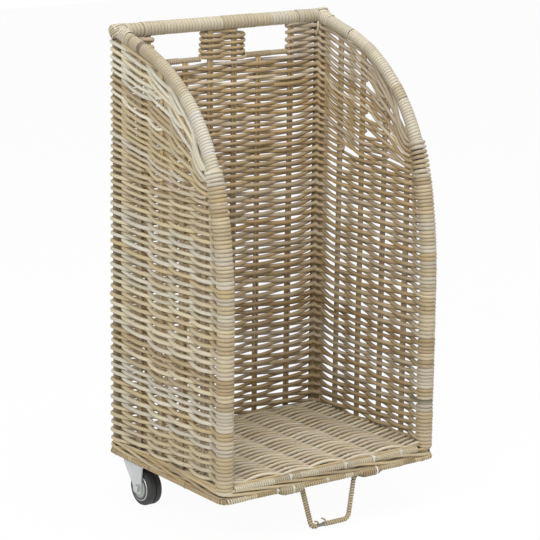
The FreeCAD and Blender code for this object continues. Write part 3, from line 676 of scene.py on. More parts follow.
def corner_controls(i, sign, backward):
    # Round a back post on its outside, or across its inner face
    out = over_or_under(i, POST_STATION[sign])
    rises = (0, CORNER_RISE[sign], CORNER_RISE[sign], 0)
    z = back_height[i] + np.interp(back_height[i], RISE_HEIGHTS, rises)
    thin = row_radius[i]
    thick = thin * CORNER_SPREAD[sign]
    reach = TUBE_RADIUS + thin * CORNER_PLAY + CORNER_GAP
    slant = reach * math.sqrt(0.5)
    wall = slant - CORNER_INSET
    cross = CORNER_CROSS[sign]
    last = len(SIDE_STAKES) - 1
    stake_z = fan_heights[sign, i, last] if i >= fan_first else low_row(i, SIDE_STAKES[last])
    side_drop = (z - stake_z) / (BACK_Y - SIDE_STAKES[last])
    back_drop = (z - back_height[i]) / (POST_X - BACK_STAKES[-1])

    def bend(outward, rearward, drop, heading, radius):
        place = (sign * (POST_X + outward), BACK_Y + rearward, z - drop)
        return control(place, heading, radius, "bend")
    if out > 0:
        made = [bend(reach, 0, 0, (0, 1, 0), thick),
                bend(slant, slant, 0, (-sign, 1, 0), thick),
                bend(0, reach, 0, (-sign, 0, 0), thick)]
    else:
        made = [bend(-slant, -slant, 0, (-sign, 1, 0), thick)]
        if sign > 0:
            made.insert(0, bend(-wall, -CORNER_TURN, side_drop * CORNER_TURN, (0, 1, 0), thin))
            made.append(bend(-CORNER_TURN, -wall, back_drop * CORNER_TURN, (-1, 0, 0), thin))
    if out in EARLY_CROSS[sign, "side"]:
        made.insert(0, bend(0, -cross, side_drop * cross, (sign * out * CROSS_SLANT[sign], 1, 0), thin))
    if out < 0 and sign < 0:
        drop = side_drop * SURFACE_AT
        made.insert(0, bend(SURFACE_OUT, -SURFACE_AT, drop, (SURFACE_SLANT, 1, 0), thin * SURFACE_THIN))
    if out in EARLY_CROSS[sign, "back"]:
        made.append(bend(-cross, 0, back_drop * cross, (-sign, -out * CROSS_SLANT[sign], 0), thin))
    if backward:
        return made
    return [control(place, -heading, radius, kind) for place, heading, radius, kind in made[::-1]]


main_start = bend_start_z + LOWER_BEND_RADIUS * LOWER_BEND
rim_start = main_start + MAIN_BEND_RADIUS * (math.pi / 2 - LOWER_BEND - RIM_SLOPE)


def hoop(reach):
    # Point and heading of a hoop's line at a length along it, which on the upright is its height
    if reach < bend_start_z:
        return np.array((FRONT_Y, reach)), np.array((0.0, 1.0))
    if reach < main_start:
        lean = (reach - bend_start_z) / LOWER_BEND_RADIUS
        return (np.array((FRONT_Y + LOWER_BEND_RADIUS * (1 - math.cos(lean)),
                          bend_start_z + LOWER_BEND_RADIUS * math.sin(lean))),
                np.array((math.sin(lean), math.cos(lean))))
    lean = LOWER_BEND + min(reach - main_start, rim_start - main_start) / MAIN_BEND_RADIUS
    heading = np.array((math.sin(lean), math.cos(lean)))
    place = np.array((main_y - MAIN_BEND_RADIUS * math.cos(lean), main_z + MAIN_BEND_RADIUS * math.sin(lean)))
    return place + heading * max(0, reach - rim_start), heading


def hoop_reach(z):
    # Length along a hoop at a height
    if z < bend_start_z:
        return z
    if z < main_z + MAIN_BEND_RADIUS * math.sin(LOWER_BEND):
        return bend_start_z + LOWER_BEND_RADIUS * math.asin((z - bend_start_z) / LOWER_BEND_RADIUS)
    return main_start + MAIN_BEND_RADIUS * (math.asin((z - main_z) / MAIN_BEND_RADIUS) - LOWER_BEND)


def post_turns(i, sign):
    # One and a half turns round a front post: in from row i, out again as row i + 1
    def height(row):
        return fan_heights[sign, row, "post"] if row >= fan_first else hoop_reach(front_height[row])
    first = height(i)
    last = height(i + 1)
    inward = np.array((-sign, 0, 0))
    made = []
    for eighth in range(POST_EIGHTHS):
        angle = eighth * math.pi / 4
        climb = np.clip((eighth - CLIMB_START) / CLIMB_EIGHTHS, 0, 1)
        (y, z), (dy, dz) = hoop(first + (last - first) * ease(climb))
        ahead = np.array((0, -dz, dy))
        thick = row_radius[i] * (1 - climb) + row_radius[i + 1] * climb
        turn = POST_WRAP_RADIUS - thick + chance.normal(0, DEPTH_SWAY)
        place = np.array((sign * POST_X, y, z)) + turn * (math.cos(angle) * inward + math.sin(angle) * ahead)
        heading = -math.sin(angle) * inward + math.cos(angle) * ahead
        made.append(control(place, heading, thick, "rib"))
    return made


def stake_turn(i, sign):
    # Round the front of the last side stake that row i gets to
    stake = next(k for k in range(len(SIDE_STAKES)) if reaches(i, sign, FAN_REACH[k]))
    out = over_or_under(i, side_station(stake, sign))
    z = (fan_heights[sign, i, stake] + fan_heights[sign, i + 1, stake]) / 2
    place = (sign * POST_X, SIDE_STAKES[stake] - STAKE_WIDTH - row_radius[i], z)
    return [control(place, (-out * sign, 0, 0), row_radius[i], "bend")]


def hole_turn(i, sign):
    # Round the stake beside a hand hole
    stake = 0 if sign < 0 else len(BACK_STAKES) - 1
    out = over_or_under(i, BACK_STATION + stake)
    z = (back_height[i] + back_height[i + 1]) / 2
    place = (BACK_STAKES[stake] - sign * (STAKE_WIDTH + row_radius[i]), BACK_Y, z)
    return [control(place, (0, -out, 0), row_radius[i], "bend")]


def to_front(i, sign):
    made = corner_controls(i, sign, backward=False) + side_controls(i, sign, forward=True)
    if i + 1 < rows:
        made += post_turns(i, sign) if reaches(i, sign, FAN_POST) else stake_turn(i, sign)
    return made


def from_front(i, sign):
    return side_controls(i, sign, forward=False) + corner_controls(i, sign, backward=True)


def lay_line(controls, step=ROD_STEP):
    # Smooth line through the controls, with its thickness along it
    places = np.array([c[0] for c in controls])
    headings = np.array([c[1] for c in controls])
    thick = np.array([c[2] for c in controls])
    flat = np.linalg.norm(np.diff(places[:, :2], axis=0), axis=1)
    for k in range(1, len(controls) - 1):
        if controls[k][3] != "rib":
            headings[k, 2] = (places[k + 1, 2] - places[k - 1, 2]) / (flat[k - 1] + flat[k])
    points = [places[:1]]
    radii = [thick[:1]]
    for k in range(len(controls) - 1):
        chord = np.linalg.norm(places[k + 1] - places[k])
        count = max(2, round(chord / step))
        t = np.linspace(0, 1, count + 1)[1:, None]
        leave = headings[k] * (t * (1 - t) ** 2 * chord)
        arrive = headings[k + 1] * (t * t * (t - 1) * chord)
        points.append(places[k] * (1 - ease(t)) + places[k + 1] * ease(t) + leave + arrive)
        radii.append(thick[k] * (1 - t[:, 0]) + thick[k + 1] * t[:, 0])
    return np.vstack(points), np.concatenate(radii)


def cut_weavers(controls, least, most):
    # Cuts a long line of rows into weavers, each with its own tone, whose ends lie side by side inside
    made = []
    lap = np.array((0, 0, WEAVER_RADIUS * TAIL_LAP))
    start = 0
    while start < len(controls) - 1:
        goal = chance.uniform(least, most)
        length = 0
        end = start + 1
        while end < len(controls) - 1:
            length += np.linalg.norm(controls[end][0] - controls[end - 1][0])
            inside_left = controls[end][3] == "in" and controls[end][0][0] < WALL_DEPTH - POST_X
            if length > goal and inside_left and len(controls) - end > LEAST_STATIONS:
                break
            end += 1
        part = [list(c) for c in controls[start:end + 1]]
        tail = chance.uniform(*WEAVER_TAIL)
        if start > 0:
            first = part[0]
            first[0] = first[0] + lap
            part.insert(0, control(first[0] - first[1] * tail, first[1], first[2], "end"))
        if end < len(controls) - 1:
            last = part[-1]
            last[0] = last[0] - lap
            part.append(control(last[0] + last[1] * tail, last[1], last[2], "end"))
        points, radii = lay_line(part)
        radii = radii * chance.uniform(*THICKNESS_SPREAD)
        made.append(strand(points, radii, pick(RATTAN_TONES) * OWN_TONE + MEAN_TONE * (1 - OWN_TONE)))
        start = end
    return made


def painted_light_and_stain(places):
    # Tone of the rods by their place in the basket: painted shade inside the walls and low on the right wall,
    # painted light mixed with paler tone on the left wall's outside, the front posts' turns a little darker,
    # and a dark mark on the right front post
    x, y, z = places[:, :, 0:1], places[:, :, 1:2], places[:, :, 2:3]
    depth = np.minimum(POST_X - np.abs(x), BACK_Y - y)
    share = np.clip((depth + SHADE_DEPTH) / (2 * SHADE_DEPTH), 0, 1)
    on_right = x > POST_X - WALL_REACH
    on_left = x < WALL_REACH - POST_X
    stained = on_right & (z > STAIN_BAND[0]) & (z < STAIN_BAND[1])
    post = POST_TONE * np.where(stained, STAIN_SHADE, 1)
    # painted shade inside the walls, and painted light with paler tone on the outside of the left wall
    wall = np.where(on_left, LEFT_OUTSIDE_PALE_AND_LIT, 1) * (1 - share) + INSIDE_BROWN_AND_SHADE * share
    # painted shade, darkest low on the right wall
    low_right_shade = np.interp(z, RIGHT_HEIGHTS, RIGHT_PAINTED_SHADES)
    return np.where(y < FRONT_Y + POST_REACH, post, wall * np.where(on_right, low_right_shade, 1))


long_line = []
for i in range(band_first):
    rightward = i % 2 == 0
    first_sign = -1 if rightward else 1
    long_line += from_front(i, first_sign)
    long_line += back_controls(i, range(len(BACK_STAKES)), rightward)
    long_line += to_front(i, -first_sign)
left_line = []
left_end = (0,)
right_end = (len(BACK_STAKES) - 1,)
for i in range(band_first, rows):
    if i % 2 == 1:
        left_line += back_controls(i, left_end, rightward=False) + to_front(i, -1)
        long_line += from_front(i, 1) + back_controls(i, right_end, rightward=False)
        long_line += hole_turn(i, 1) if i + 1 < rows else []
    else:
        left_line += from_front(i, -1) + back_controls(i, left_end, rightward=True)
        long_line += back_controls(i, right_end, rightward=True) + to_front(i, 1)
        left_line += hole_turn(i, -1) if i + 1 < rows else []

weavers = cut_weavers(long_line, *WEAVER_LENGTHS)
left_weavers = cut_weavers(left_line, *BAND_LENGTHS)
weaver_rattan = rattan("weaver_rattan", streak=0.34, grey=0.45, joint=0.34, relief=0.5)
share = len(weavers) / 3
for part, name in enumerate(("lower", "middle", "upper")):
    rods = weavers[round(part * share):round((part + 1) * share)]
    if name == "upper":
        rods = rods + left_weavers
    lay_strands(name + "_courses", rods, weaver_rattan, WALL_NODES, painted_light_and_stain)


# Web between the hand holes: a weaver going to and fro round the two middle stakes.
# It turns back at the edge of each hole, one loop above the other.
WEB_STAKES = (2, 3)
WEB_EDGE = 0.045
WEB_BOTTOM = 0.7495
WEB_TOP_GAP = 0.0105
WEB_ROWS = 11
WEB_RADIUS = 0.0029
WEB_SWAY = 0.0004
EDGE_SWAY = 0.0008
EDGE_CLIMB = 0.5
WEB_STEP = 0.004
web_pitch = (RAIL_Z - WEB_TOP_GAP - WEB_RADIUS - WEB_BOTTOM) / (WEB_ROWS - 1)
web_line = []
for i in range(WEB_ROWS):
    sign = 1 if i % 2 == 0 else -1
    z = WEB_BOTTOM + i * web_pitch
    for k in WEB_STAKES[::sign]:
        out = over_or_under(i, k)
        place = (BACK_STAKES[k], BACK_Y + out * (STAKE_RADIUS + WEB_RADIUS), z + chance.normal(0, WEB_SWAY))
        web_line.append(control(place, (sign, 0, 0), WEB_RADIUS, "out"))
    if i < WEB_ROWS - 1:
        edge = sign * (WEB_EDGE + chance.normal(0, EDGE_SWAY))
        web_line.append(control((edge, BACK_Y, z + web_pitch / 2), (0, -out, EDGE_CLIMB), WEB_RADIUS, "rib"))
points, radii = lay_line(web_line, WEB_STEP)
lay_strands("hand_hole_web", [strand(points, radii, RATTAN_TONES[4])], weaver_rattan,
            shade=painted_light_and_stain)


# Floor mat: weavers from side to side over pairs of stout canes that run from front to back.
# It rests on the base tubes, packed so tightly that no light comes through.
FLOOR_STAKES = (-0.132, -0.066, 0.0, 0.066, 0.132)
FLOOR_STAKE_INSET = 0.001
FLOOR_STAKE_SHADE = 0.85
FLOOR_STAKE_SWAY = (0.0005, 0, 0.0001)
FLOOR_EDGE = 0.199
FLOOR_FRONT = 0.003  # the first row lies this far before the front posts' axes
FLOOR_Z = 0.1068
FLOOR_PITCH = 0.007
FLOOR_WEAVER = 0.003
FLOOR_WAVE = 0.0049
FLOOR_SPREAD = (0.9, 1.06)
FLOOR_ROW_SWAY = 0.0005
EDGE_ROD_SWAY = (0, 0.0003, 0.0003)
FLOOR_TONE = from_screen(208, 196, 170)
FLOOR_PAINTED_SHADES = (0.5, 0.8, 1)  # painted shade, darker toward the bottom of the weave: at the deepest, halfway and on top
FLOOR_PAINTED_SHADE_DEPTH = 0.012
low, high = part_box("floor_weave")
floor_canes = []
for x in FLOOR_STAKES:
    for offset in (-TWIN_OFFSET, TWIN_OFFSET):
        ends = [(x + offset, y, FLOOR_Z) for y in (low.y + FLOOR_STAKE_INSET, high.y - FLOOR_STAKE_INSET)]
        line = cane_line(*ends, FLOOR_STAKE_SWAY)
        floor_canes.append(strand(line, STAKE_RADIUS, pick(RATTAN_TONES) * FLOOR_STAKE_SHADE))
lay_strands("floor_stake_canes", floor_canes, stake_rattan, ("floor_stakes",))
floor_weavers = []
front_row = FRONT_Y - FLOOR_FRONT
back_row = high.y - FLOOR_WEAVER
floor_rows = round((back_row - front_row) / FLOOR_PITCH)
for i in range(floor_rows + 1):
    row_y = front_row + i * (back_row - front_row) / floor_rows
    line = []
    for k, x in enumerate((-FLOOR_EDGE, *FLOOR_STAKES, FLOOR_EDGE)):
        y = row_y + chance.normal(0, FLOOR_ROW_SWAY)
        z = FLOOR_Z + over_or_under(i, k) * FLOOR_WAVE + chance.normal(0, DEPTH_SWAY)
        line.append(control((x, y, z), (1, 0, 0), FLOOR_WEAVER, "rib"))
    points, radii = lay_line(line)
    radii = radii * chance.uniform(*FLOOR_SPREAD)
    floor_weavers.append(strand(points, radii, (pick(RATTAN_TONES) + FLOOR_TONE) / 2))
line = cane_line((-FLOOR_EDGE, front_row, FLOOR_Z), (FLOOR_EDGE, front_row, FLOOR_Z), EDGE_ROD_SWAY)
floor_weavers.append(strand(line, FLOOR_WEAVER, RATTAN_TONES[3]))


# Painted shade: the mat's rods darken toward the bottom of the weave, where shade falls between them
def painted_floor_shade(places):
    deepest, halfway, top = FLOOR_PAINTED_SHADES
    return np.clip(halfway + (places[:, :, 2:3] - FLOOR_Z) / FLOOR_PAINTED_SHADE_DEPTH, deepest, top)


lay_strands("floor_mat", floor_weavers, weaver_rattan, ("floor_weave",), painted_floor_shade)


# Cane wraps: half-round split cane wound edge to edge round the two rims and the top rail.
# On the left rim the cane goes from cream in front to tan at the back, and on the right from tan to grey.
RIM_CANE = 0.0051
RIM_COVER = 0.62
RAIL_CANE = 0.0066
RAIL_COVER = 0.64
RAIL_WRAP_RADIUS = 0.0121
RAIL_PACKING = {-1: 0.0016, 1: 0.0004}  # a strip under the wrap lifts it on the left
CANE_THICK = 0.0025
CANE_COVER = 0.52  # half a turn's width, in its distance to the next
WIND_STEPS = 16
LEAST_TURN = 0.5
LEAST_POINTS = 6
SECTION_RANGE = (0.04, 0.96)
SECTION_GAP = 0.0007
WRAP_SWAY = 0.0003
HEADING_STEP = 0.001
KNOT_REACH = 0.03
RIM_UNDERLAP = 0.021  # the wrap starts this far below the top of the post's turns
RIM_OVERRUN = 0.02
RIM_POINTS = 160
RIM_FIRST = 0.006
RIM_SHARES = (0.14, 0.36, 0.46, 1)  # ends of the stretches of one colour, and the lengths of cane in each
RIM_SECTIONS = (2, 3, 1, 5)
CANE_TONES = screen_tones((214, 203, 178), (206, 193, 164), (198, 183, 152), (220, 212, 194), (190, 176, 148))
TAN_TONES = screen_tones((206, 192, 162), (200, 184, 152), (194, 178, 146))
MID_TONES = screen_tones((210, 200, 177), (205, 195, 172))
PALE_TONES = screen_tones((218, 212, 198), (212, 204, 188), (208, 201, 188))
RIM_TONES = {"left": ([tone * 1.06 for tone in PALE_TONES], [tone * 0.86 for tone in TAN_TONES]),
             "right": ([tone * 0.9 for tone in CANE_TONES], [tone * 0.96 for tone in MID_TONES])}
RAIL_CANE_TONES = [tone * 0.58 + CANE_TONES[1] * 0.28 for tone in CANE_TONES]
STAIN_TONE = from_screen(128, 115, 98)  # a few turns near the back of the left rim are stained
STAINS = {"left": ((0.036, 0.006), (0.068, 0.011)), "right": ()}
STAIN_LIFT = 0.0002


def run_of(points, normal):
    # Line of a wrapped rod that lies in a plane: its point and two square directions at any length
    points = np.asarray(points, float)
    normal = np.asarray(normal, float)
    lengths = lengths_along(points)

    def point(length):
        return np.array([np.interp(length, lengths, points[:, k]) for k in range(3)]).T

    def at(length):
        heading = point(length + HEADING_STEP) - point(length - HEADING_STEP)
        heading /= np.linalg.norm(heading, axis=1)[:, None]
        return point(length), np.cross(heading, normal)
    return at, lengths[-1], normal


def wind(run, start, end, radius, cane, thick, tone, cover=CANE_COVER):
    # One length of cane wound round a rod, its turns touching
    at, _, normal = run
    turns = max((end - start) / cane, LEAST_TURN)
    turn = np.linspace(0, turns, max(int(turns * WIND_STEPS), LEAST_POINTS))
    place, square = at(start + turn * cane)
    angle = turn[:, None] * 2 * math.pi
    outward = np.cos(angle) * normal + np.sin(angle) * square
    line = place + outward * (radius - thick / 2)
    return strand(line, cane * cover, tone, (outward, thick / (2 * cover * cane)))


def wrap(run, start, end, radius, cane, thick, tones, sections, cover=CANE_COVER):
    # A wrapped stretch, in lengths of cane that follow each other
    joins = np.sort(np.concatenate([[0, 1], chance.uniform(*SECTION_RANGE, sections - 1)]))
    ends = start + (end - start) * joins
    made = []
    for first, last in zip(ends, ends[1:]):
        pitch = (last - first) / max(1, round((last - first) / cane))
        lifted = radius + chance.normal(0, WRAP_SWAY)
        made.append(wind(run, first, last - SECTION_GAP, lifted, pitch, thick, pick(tones), cover))
    return made


split_cane = rattan("split_cane", streak=0.26, grey=0.25, joint=0.2, relief=0.35)
rim_end = rim_start + (BACK_Y - KNOT_REACH - hoop(rim_start)[0][0]) / math.cos(RIM_SLOPE)
for side, sign in SIDES:
    front_tones, rear_tones = RIM_TONES[side]
    reaches_along = np.linspace(WRAP_TOP[sign] - RIM_UNDERLAP, rim_end + RIM_OVERRUN, RIM_POINTS)
    rim_run = run_of([(sign * POST_X, *hoop(reach)[0]) for reach in reaches_along], (1, 0, 0))
    rim_length = rim_run[1] - RIM_OVERRUN
    stops = [RIM_FIRST, *(share * rim_length for share in RIM_SHARES)]
    stretch_tones = (MID_TONES, front_tones, MID_TONES, rear_tones)
    rods = []
    for first, last, tones, sections in zip(stops, stops[1:], stretch_tones, RIM_SECTIONS):
        rods += wrap(rim_run, first, last, RIM_WRAP_RADIUS, RIM_CANE, CANE_THICK, tones, sections, RIM_COVER)
    for stain, width in STAINS[side]:
        start = rim_run[1] - stain
        rods.append(wind(rim_run, start, start + width, RIM_WRAP_RADIUS + STAIN_LIFT, RIM_CANE, CANE_THICK,
                         STAIN_TONE))
    lay_strands(side + "_rim_cane", rods, split_cane, (side + "_rim_wrap",))
low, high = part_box("top_rail_wrap")
rail_ends = (low.x, BACK_Y, RAIL_Z + RAIL_PACKING[-1]), (high.x, BACK_Y, RAIL_Z + RAIL_PACKING[1])
rail_run = run_of(np.linspace(*rail_ends, 40), (0, 1, 0))
rods = wrap(rail_run, 0, rail_run[1], RAIL_WRAP_RADIUS, RAIL_CANE, CANE_THICK, RAIL_CANE_TONES, sections=13,
            cover=RAIL_COVER)
lay_strands("top_rail_cane", rods, split_cane, ("top_rail_wrap",))


# Hand hole sills: a rattan rod under each hole, bound with fine cane.
# Its ends are tucked between the stakes on either side.
SILL_RADIUS = 0.005
SILL_CANE = 0.0038
SILL_CANE_THICK = 0.0018
SILL_TUCK = 0.004
SILL_TONES = [tone * np.array((0.78, 0.7, 0.58)) for tone in CANE_TONES]
sill_rods = []
for sign in (-1, 1):
    ends = [(sign * x, BACK_Y, SILL_Z) for x in (HOLE_EDGES[0] - SILL_TUCK, HOLE_EDGES[1] + SILL_TUCK)]
    sill_run = run_of(np.linspace(*ends, 12), (0, 1, 0))
    sill_rods += wrap(sill_run, 0, sill_run[1], SILL_RADIUS, SILL_CANE, SILL_CANE_THICK, SILL_TONES,
                      sections=3)
lay_strands("sill_cane", sill_rods, split_cane, ("hand_hole_sills",))


# Corner knots: cane lashed crosswise over the joint of top rail, back post and hoop.
# The turns go over the rail's end and forward along the rim, and a loose tail hangs down inside.
KNOT_CANE = 0.005
KNOT_RADIUS = 0.0122
KNOT_INSIDE = 0.016  # the rail's last turns, from inside the post's axis to outside it
KNOT_OUTSIDE = 0.0115
CAP_OUTSIDE = 0.0116  # a coil of cane closes the rail's end
CAP_TURNS = 3
CAP_WIDTH = 0.0098
CAP_MIDDLE = 0.0008
CAP_CANE = 0.0019
SHOULDER_START = 0.008
LASH_RADIUS = 0.0147
LASH_CANE = 0.0043
LASH_COVER = 0.53
LASH_FLATNESS = 0.6
LASH_ACROSS = np.array((0, 0.62, 0.78))
LASH_UP = np.array((0, -0.78, 0.62))
LASH_ARC = np.radians(np.linspace(-165, 125, 30))[:, None]
TAIL_POINTS = ((-0.0125, -0.011, -0.009), (-0.0138, -0.0125, -0.02), (-0.0165, -0.0105, -0.032))
TAIL_CANE = 0.0018
knot_rods = []
for sign in (-1, 1):
    corner = np.array((sign * POST_X, BACK_Y, RAIL_Z + RAIL_PACKING[sign]))
    outside = np.array((sign, 0, 0))
    ends = corner - outside * KNOT_INSIDE, corner + outside * KNOT_OUTSIDE
    rail_end = run_of(np.linspace(*ends, 8), (0, 1, 0))
    knot_rods.append(wind(rail_end, 0, rail_end[1], KNOT_RADIUS, KNOT_CANE, CANE_THICK, pick(MID_TONES)))
    turn = np.linspace(0, CAP_TURNS, 60)[:, None] * 2 * math.pi
    coil = (1 - turn / turn[-1]) * CAP_WIDTH + CAP_MIDDLE
    cap = corner + outside * CAP_OUTSIDE + np.hstack([0 * turn, coil * np.cos(turn), coil * np.sin(turn)])
    knot_rods.append(strand(cap, CAP_CANE, pick(MID_TONES)))
    rim_heading = np.array((0, -math.cos(RIM_SLOPE), -math.sin(RIM_SLOPE)))
    shoulder_end = corner + rim_heading * KNOT_REACH / math.cos(RIM_SLOPE)
    shoulder = run_of(np.linspace(corner, shoulder_end, 8), (1, 0, 0))
    knot_rods.append(wind(shoulder, SHOULDER_START, shoulder[1], KNOT_RADIUS, KNOT_CANE, CANE_THICK,
                          pick(MID_TONES)))
    outward = np.cos(LASH_ARC) * outside + np.sin(LASH_ARC) * LASH_UP
    for lap in (-2, -1, 0, 1):
        lash = corner + LASH_ACROSS * lap * LASH_CANE + outward * (LASH_RADIUS + chance.normal(0, WRAP_SWAY))
        knot_rods.append(strand(lash, LASH_CANE * LASH_COVER, pick(CANE_TONES), (outward, LASH_FLATNESS)))
    tail = corner + np.array([(sign * x, y, z) for x, y, z in TAIL_POINTS])
    knot_rods.append(strand(tail, TAIL_CANE, pick(TAN_TONES)))
lay_strands("corner_knots", knot_rods, split_cane, ("corner_bindings",))


# Base edge: four long wale rods twisted along the base tubes, rattan rails wrapped with cane below them
# and a wrapped rod along the front and back edges of the floor. Strips of cane tie them on, pale in front.
WALE_RODS = 4
WALE_RADIUS = 0.0025
WALE_THINNEST = 0.94  # the first rod's share of that radius, and what each rod after it adds
WALE_STEP = 0.04
WALE_UNEVEN = 0.4  # the twist runs this far ahead and behind, in waves of this many radians a metre
WALE_UNEVEN_WAVES = 9
WALE_TWIST = 0.31
WALE_WAVE = 0.006
WALE_DEPTH = 0.0026
WALE_Z = 0.0952
WALE_CORNER = 0.013
WALE_TONE = np.array((0.84, 0.78, 0.66))
LOOP_POINTS = 220
CORNER_POINTS = 10
EDGE_LIFT = 0.0045  # the base edge rises toward the back left corner
FOOT_RADIUS = 0.0033  # rods along the foot of each wall, and two turns at the foot of the left front post
FOOT_Z = 0.1035
FOOT_FRONT = 0.012
FOOT_BACK = 0.006
FOOT_SWAY = (0.0002, 0.0002, 0.0006)
FOOT_SHADES = {1: 0.7, -1: 0.9}
FOOT_TURNS = (0.0985, 0.1045)


def rounded_loop(reach, z, radius):
    # Line round the base at a distance from the posts' axes
    half_x = POST_X + reach - radius
    front_y = FRONT_Y - reach + radius
    back_y = BACK_Y + reach - radius
    points = []
    corners = (half_x, back_y), (-half_x, back_y), (-half_x, front_y), (half_x, front_y)
    for quarter, (x, y) in enumerate(corners):
        start = quarter * math.pi / 2
        for angle in np.linspace(start, start + math.pi / 2, CORNER_POINTS):
            points.append((x + radius * math.cos(angle), y + radius * math.sin(angle), z))
    points = np.array([*points, points[0]])
    lengths = lengths_along(points)
    even = np.linspace(0, lengths[-1], LOOP_POINTS)
    line = np.column_stack([np.interp(even, lengths, points[:, k]) for k in range(3)])
    along = np.clip((line[:, 1] - FRONT_Y) / (BACK_Y - FRONT_Y), 0, 1)
    across = np.clip((POST_X - line[:, 0]) / (2 * POST_X), 0, 1)
    return line + np.outer(EDGE_LIFT * along * across, (0, 0, 1))


wale_line = rounded_loop(TUBE_RADIUS + WALE_RADIUS, WALE_Z, WALE_CORNER)
lengths = lengths_along(wale_line)
heading = np.gradient(wale_line, axis=0)
heading /= np.linalg.norm(heading, axis=1)[:, None]
outside = np.cross(heading, (0, 0, 1))
wale_rods = []
for rod in range(WALE_RODS):
    uneven = WALE_UNEVEN * np.sin(lengths * WALE_UNEVEN_WAVES + rod)
    twist = lengths / WALE_TWIST * 2 * math.pi + rod * math.pi / 2 + uneven
    wave = np.outer(np.cos(twist) * WALE_WAVE, (0, 0, 1))
    line = wale_line + wave + outside * (np.sin(twist) * WALE_DEPTH)[:, None]
    thick = WALE_RADIUS * (WALE_THINNEST + WALE_STEP * rod)
    wale_rods.append(strand(line[:-1], thick, pick(RATTAN_TONES) * WALE_TONE))
for face in (1, -1):
    offset = face * (STAKE_RADIUS + FOOT_RADIUS)
    side_x = POST_X - offset
    back_y = BACK_Y - offset
    for start, end in (((-side_x, FRONT_Y + FOOT_FRONT), (-side_x, BACK_Y - FOOT_BACK)),
                       ((side_x, FRONT_Y + FOOT_FRONT), (side_x, BACK_Y - FOOT_BACK)),
                       ((FOOT_BACK - POST_X, back_y), (POST_X - FOOT_BACK, back_y))):
        line = cane_line((*start, FOOT_Z), (*end, FOOT_Z), FOOT_SWAY)
        wale_rods.append(strand(line, FOOT_RADIUS, pick(RATTAN_TONES) * FOOT_SHADES[face]))
angle = np.linspace(0, 2 * math.pi, 40)[:, None]
foot_turn = np.hstack([np.cos(angle), np.sin(angle), 0 * angle]) * (POST_WRAP_RADIUS - FOOT_RADIUS)
for z in FOOT_TURNS:
    wale_rods.append(strand(foot_turn + (-POST_X, FRONT_Y, z), FOOT_RADIUS, pick(RATTAN_TONES) * POST_TONE))
lay_strands("wale_rods", wale_rods, weaver_rattan,
            ("wale_left", "wale_right", "wale_front", "wale_back"))

BASE_CANE = 0.0046
BASE_CANE_THICK = 0.0028
RAIL_OUT = 0.0035
RAIL_CORNER = 0.012
RAIL_CORE = 0.0016  # the rod inside is this much thinner than its wrap
RAIL_LIFT = 0.0068  # the bound rods sit up against the wale, in front of the tubes
RAIL_TONES = screen_tones((205, 188, 150), (186, 164, 124), (170, 148, 110), (214, 202, 172))
TIE_TONES = screen_tones((236, 232, 220), (228, 222, 206))
TIES = 15
TIE_RANGE = (0.05, 0.03)  # from the start of the loop and from its end
TIE_WIDTH = 0.003
TIE_CANE = 0.0024
TIE_THICK = 0.0011
TIE_LIFT = 0.0005
PALE_TIE_INSET = 0.02
DARK_TIE = 0.75
low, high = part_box("base_rail_front")
rail_radius = (high.z - low.z) / 2
rail_z = (low.z + high.z) / 2 + RAIL_LIFT
rail_reach = TUBE_RADIUS + RAIL_OUT
rail_line = rounded_loop(rail_reach, rail_z, RAIL_CORNER)
rail_loop = run_of(rail_line, (0, 0, 1))
rail_rods = wrap(rail_loop, 0, rail_loop[1], rail_radius, BASE_CANE, BASE_CANE_THICK, RAIL_TONES, sections=24)
rail_rods.append(strand(rail_line[:-1], rail_radius - RAIL_CORE, RAIL_TONES[2]))
for tie in np.linspace(TIE_RANGE[0], rail_loop[1] - TIE_RANGE[1], TIES):
    place = rail_loop[0](np.array([tie]))[0][0]
    at_front = place[1] < FRONT_Y and abs(place[0]) < POST_X - PALE_TIE_INSET
    tone = pick(TIE_TONES) if at_front else pick(RAIL_TONES) * DARK_TIE
    rail_rods.append(wind(rail_loop, tie, tie + TIE_WIDTH, rail_radius + TIE_LIFT, TIE_CANE, TIE_THICK, tone))
lay_strands("base_rail_cane", rail_rods, split_cane,
            ("base_rail_left", "base_rail_right", "base_rail_front", "base_rail_back"))

EDGE_CANE = 0.0042
EDGE_CANE_THICK = 0.0026
EDGE_CORE = 0.0018
EDGE_START = 0.003
FRONT_EDGE = (0.0095, 0.0042, 0.008)  # how far the front rod lies forward, lower and short of the right end
BACK_EDGE = 0.013
FRONT_TIES = (0.11, 0.225, 0.285, 0.345)
FRONT_TIE_WIDTH = 0.005
FRONT_TIE_CANE = 0.0035
FRONT_TIE_THICK = 0.0012
FRONT_TIE_LIFT = 0.0008
low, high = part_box("floor_rim")
rim_radius = (high.z - low.z) / 2
rim_z = (low.z + high.z) / 2
forward, lower, short = FRONT_EDGE
floor_edge_rods = []
for y, z, end_x, ties in ((FRONT_Y - forward, rim_z - lower, high.x - short, FRONT_TIES),
                          (BACK_Y - BACK_EDGE, rim_z, high.x, ())):
    ends = Vector((low.x - EDGE_START, y, z)), Vector((end_x, y, z))
    edge_run = run_of(np.linspace(*ends, 30), (0, 1, 0))
    floor_edge_rods += wrap(edge_run, 0, edge_run[1], rim_radius, EDGE_CANE, EDGE_CANE_THICK, CANE_TONES,
                            sections=8)
    floor_edge_rods.append(strand(np.linspace(*ends, 12), rim_radius - EDGE_CORE, RAIL_TONES[2]))
    for tie in ties:
        floor_edge_rods.append(wind(edge_run, tie, tie + FRONT_TIE_WIDTH, rim_radius + FRONT_TIE_LIFT,
                                    FRONT_TIE_CANE, FRONT_TIE_THICK, pick(TIE_TONES)))
lay_strands("floor_edge_cane", floor_edge_rods, split_cane, ("floor_rim",))


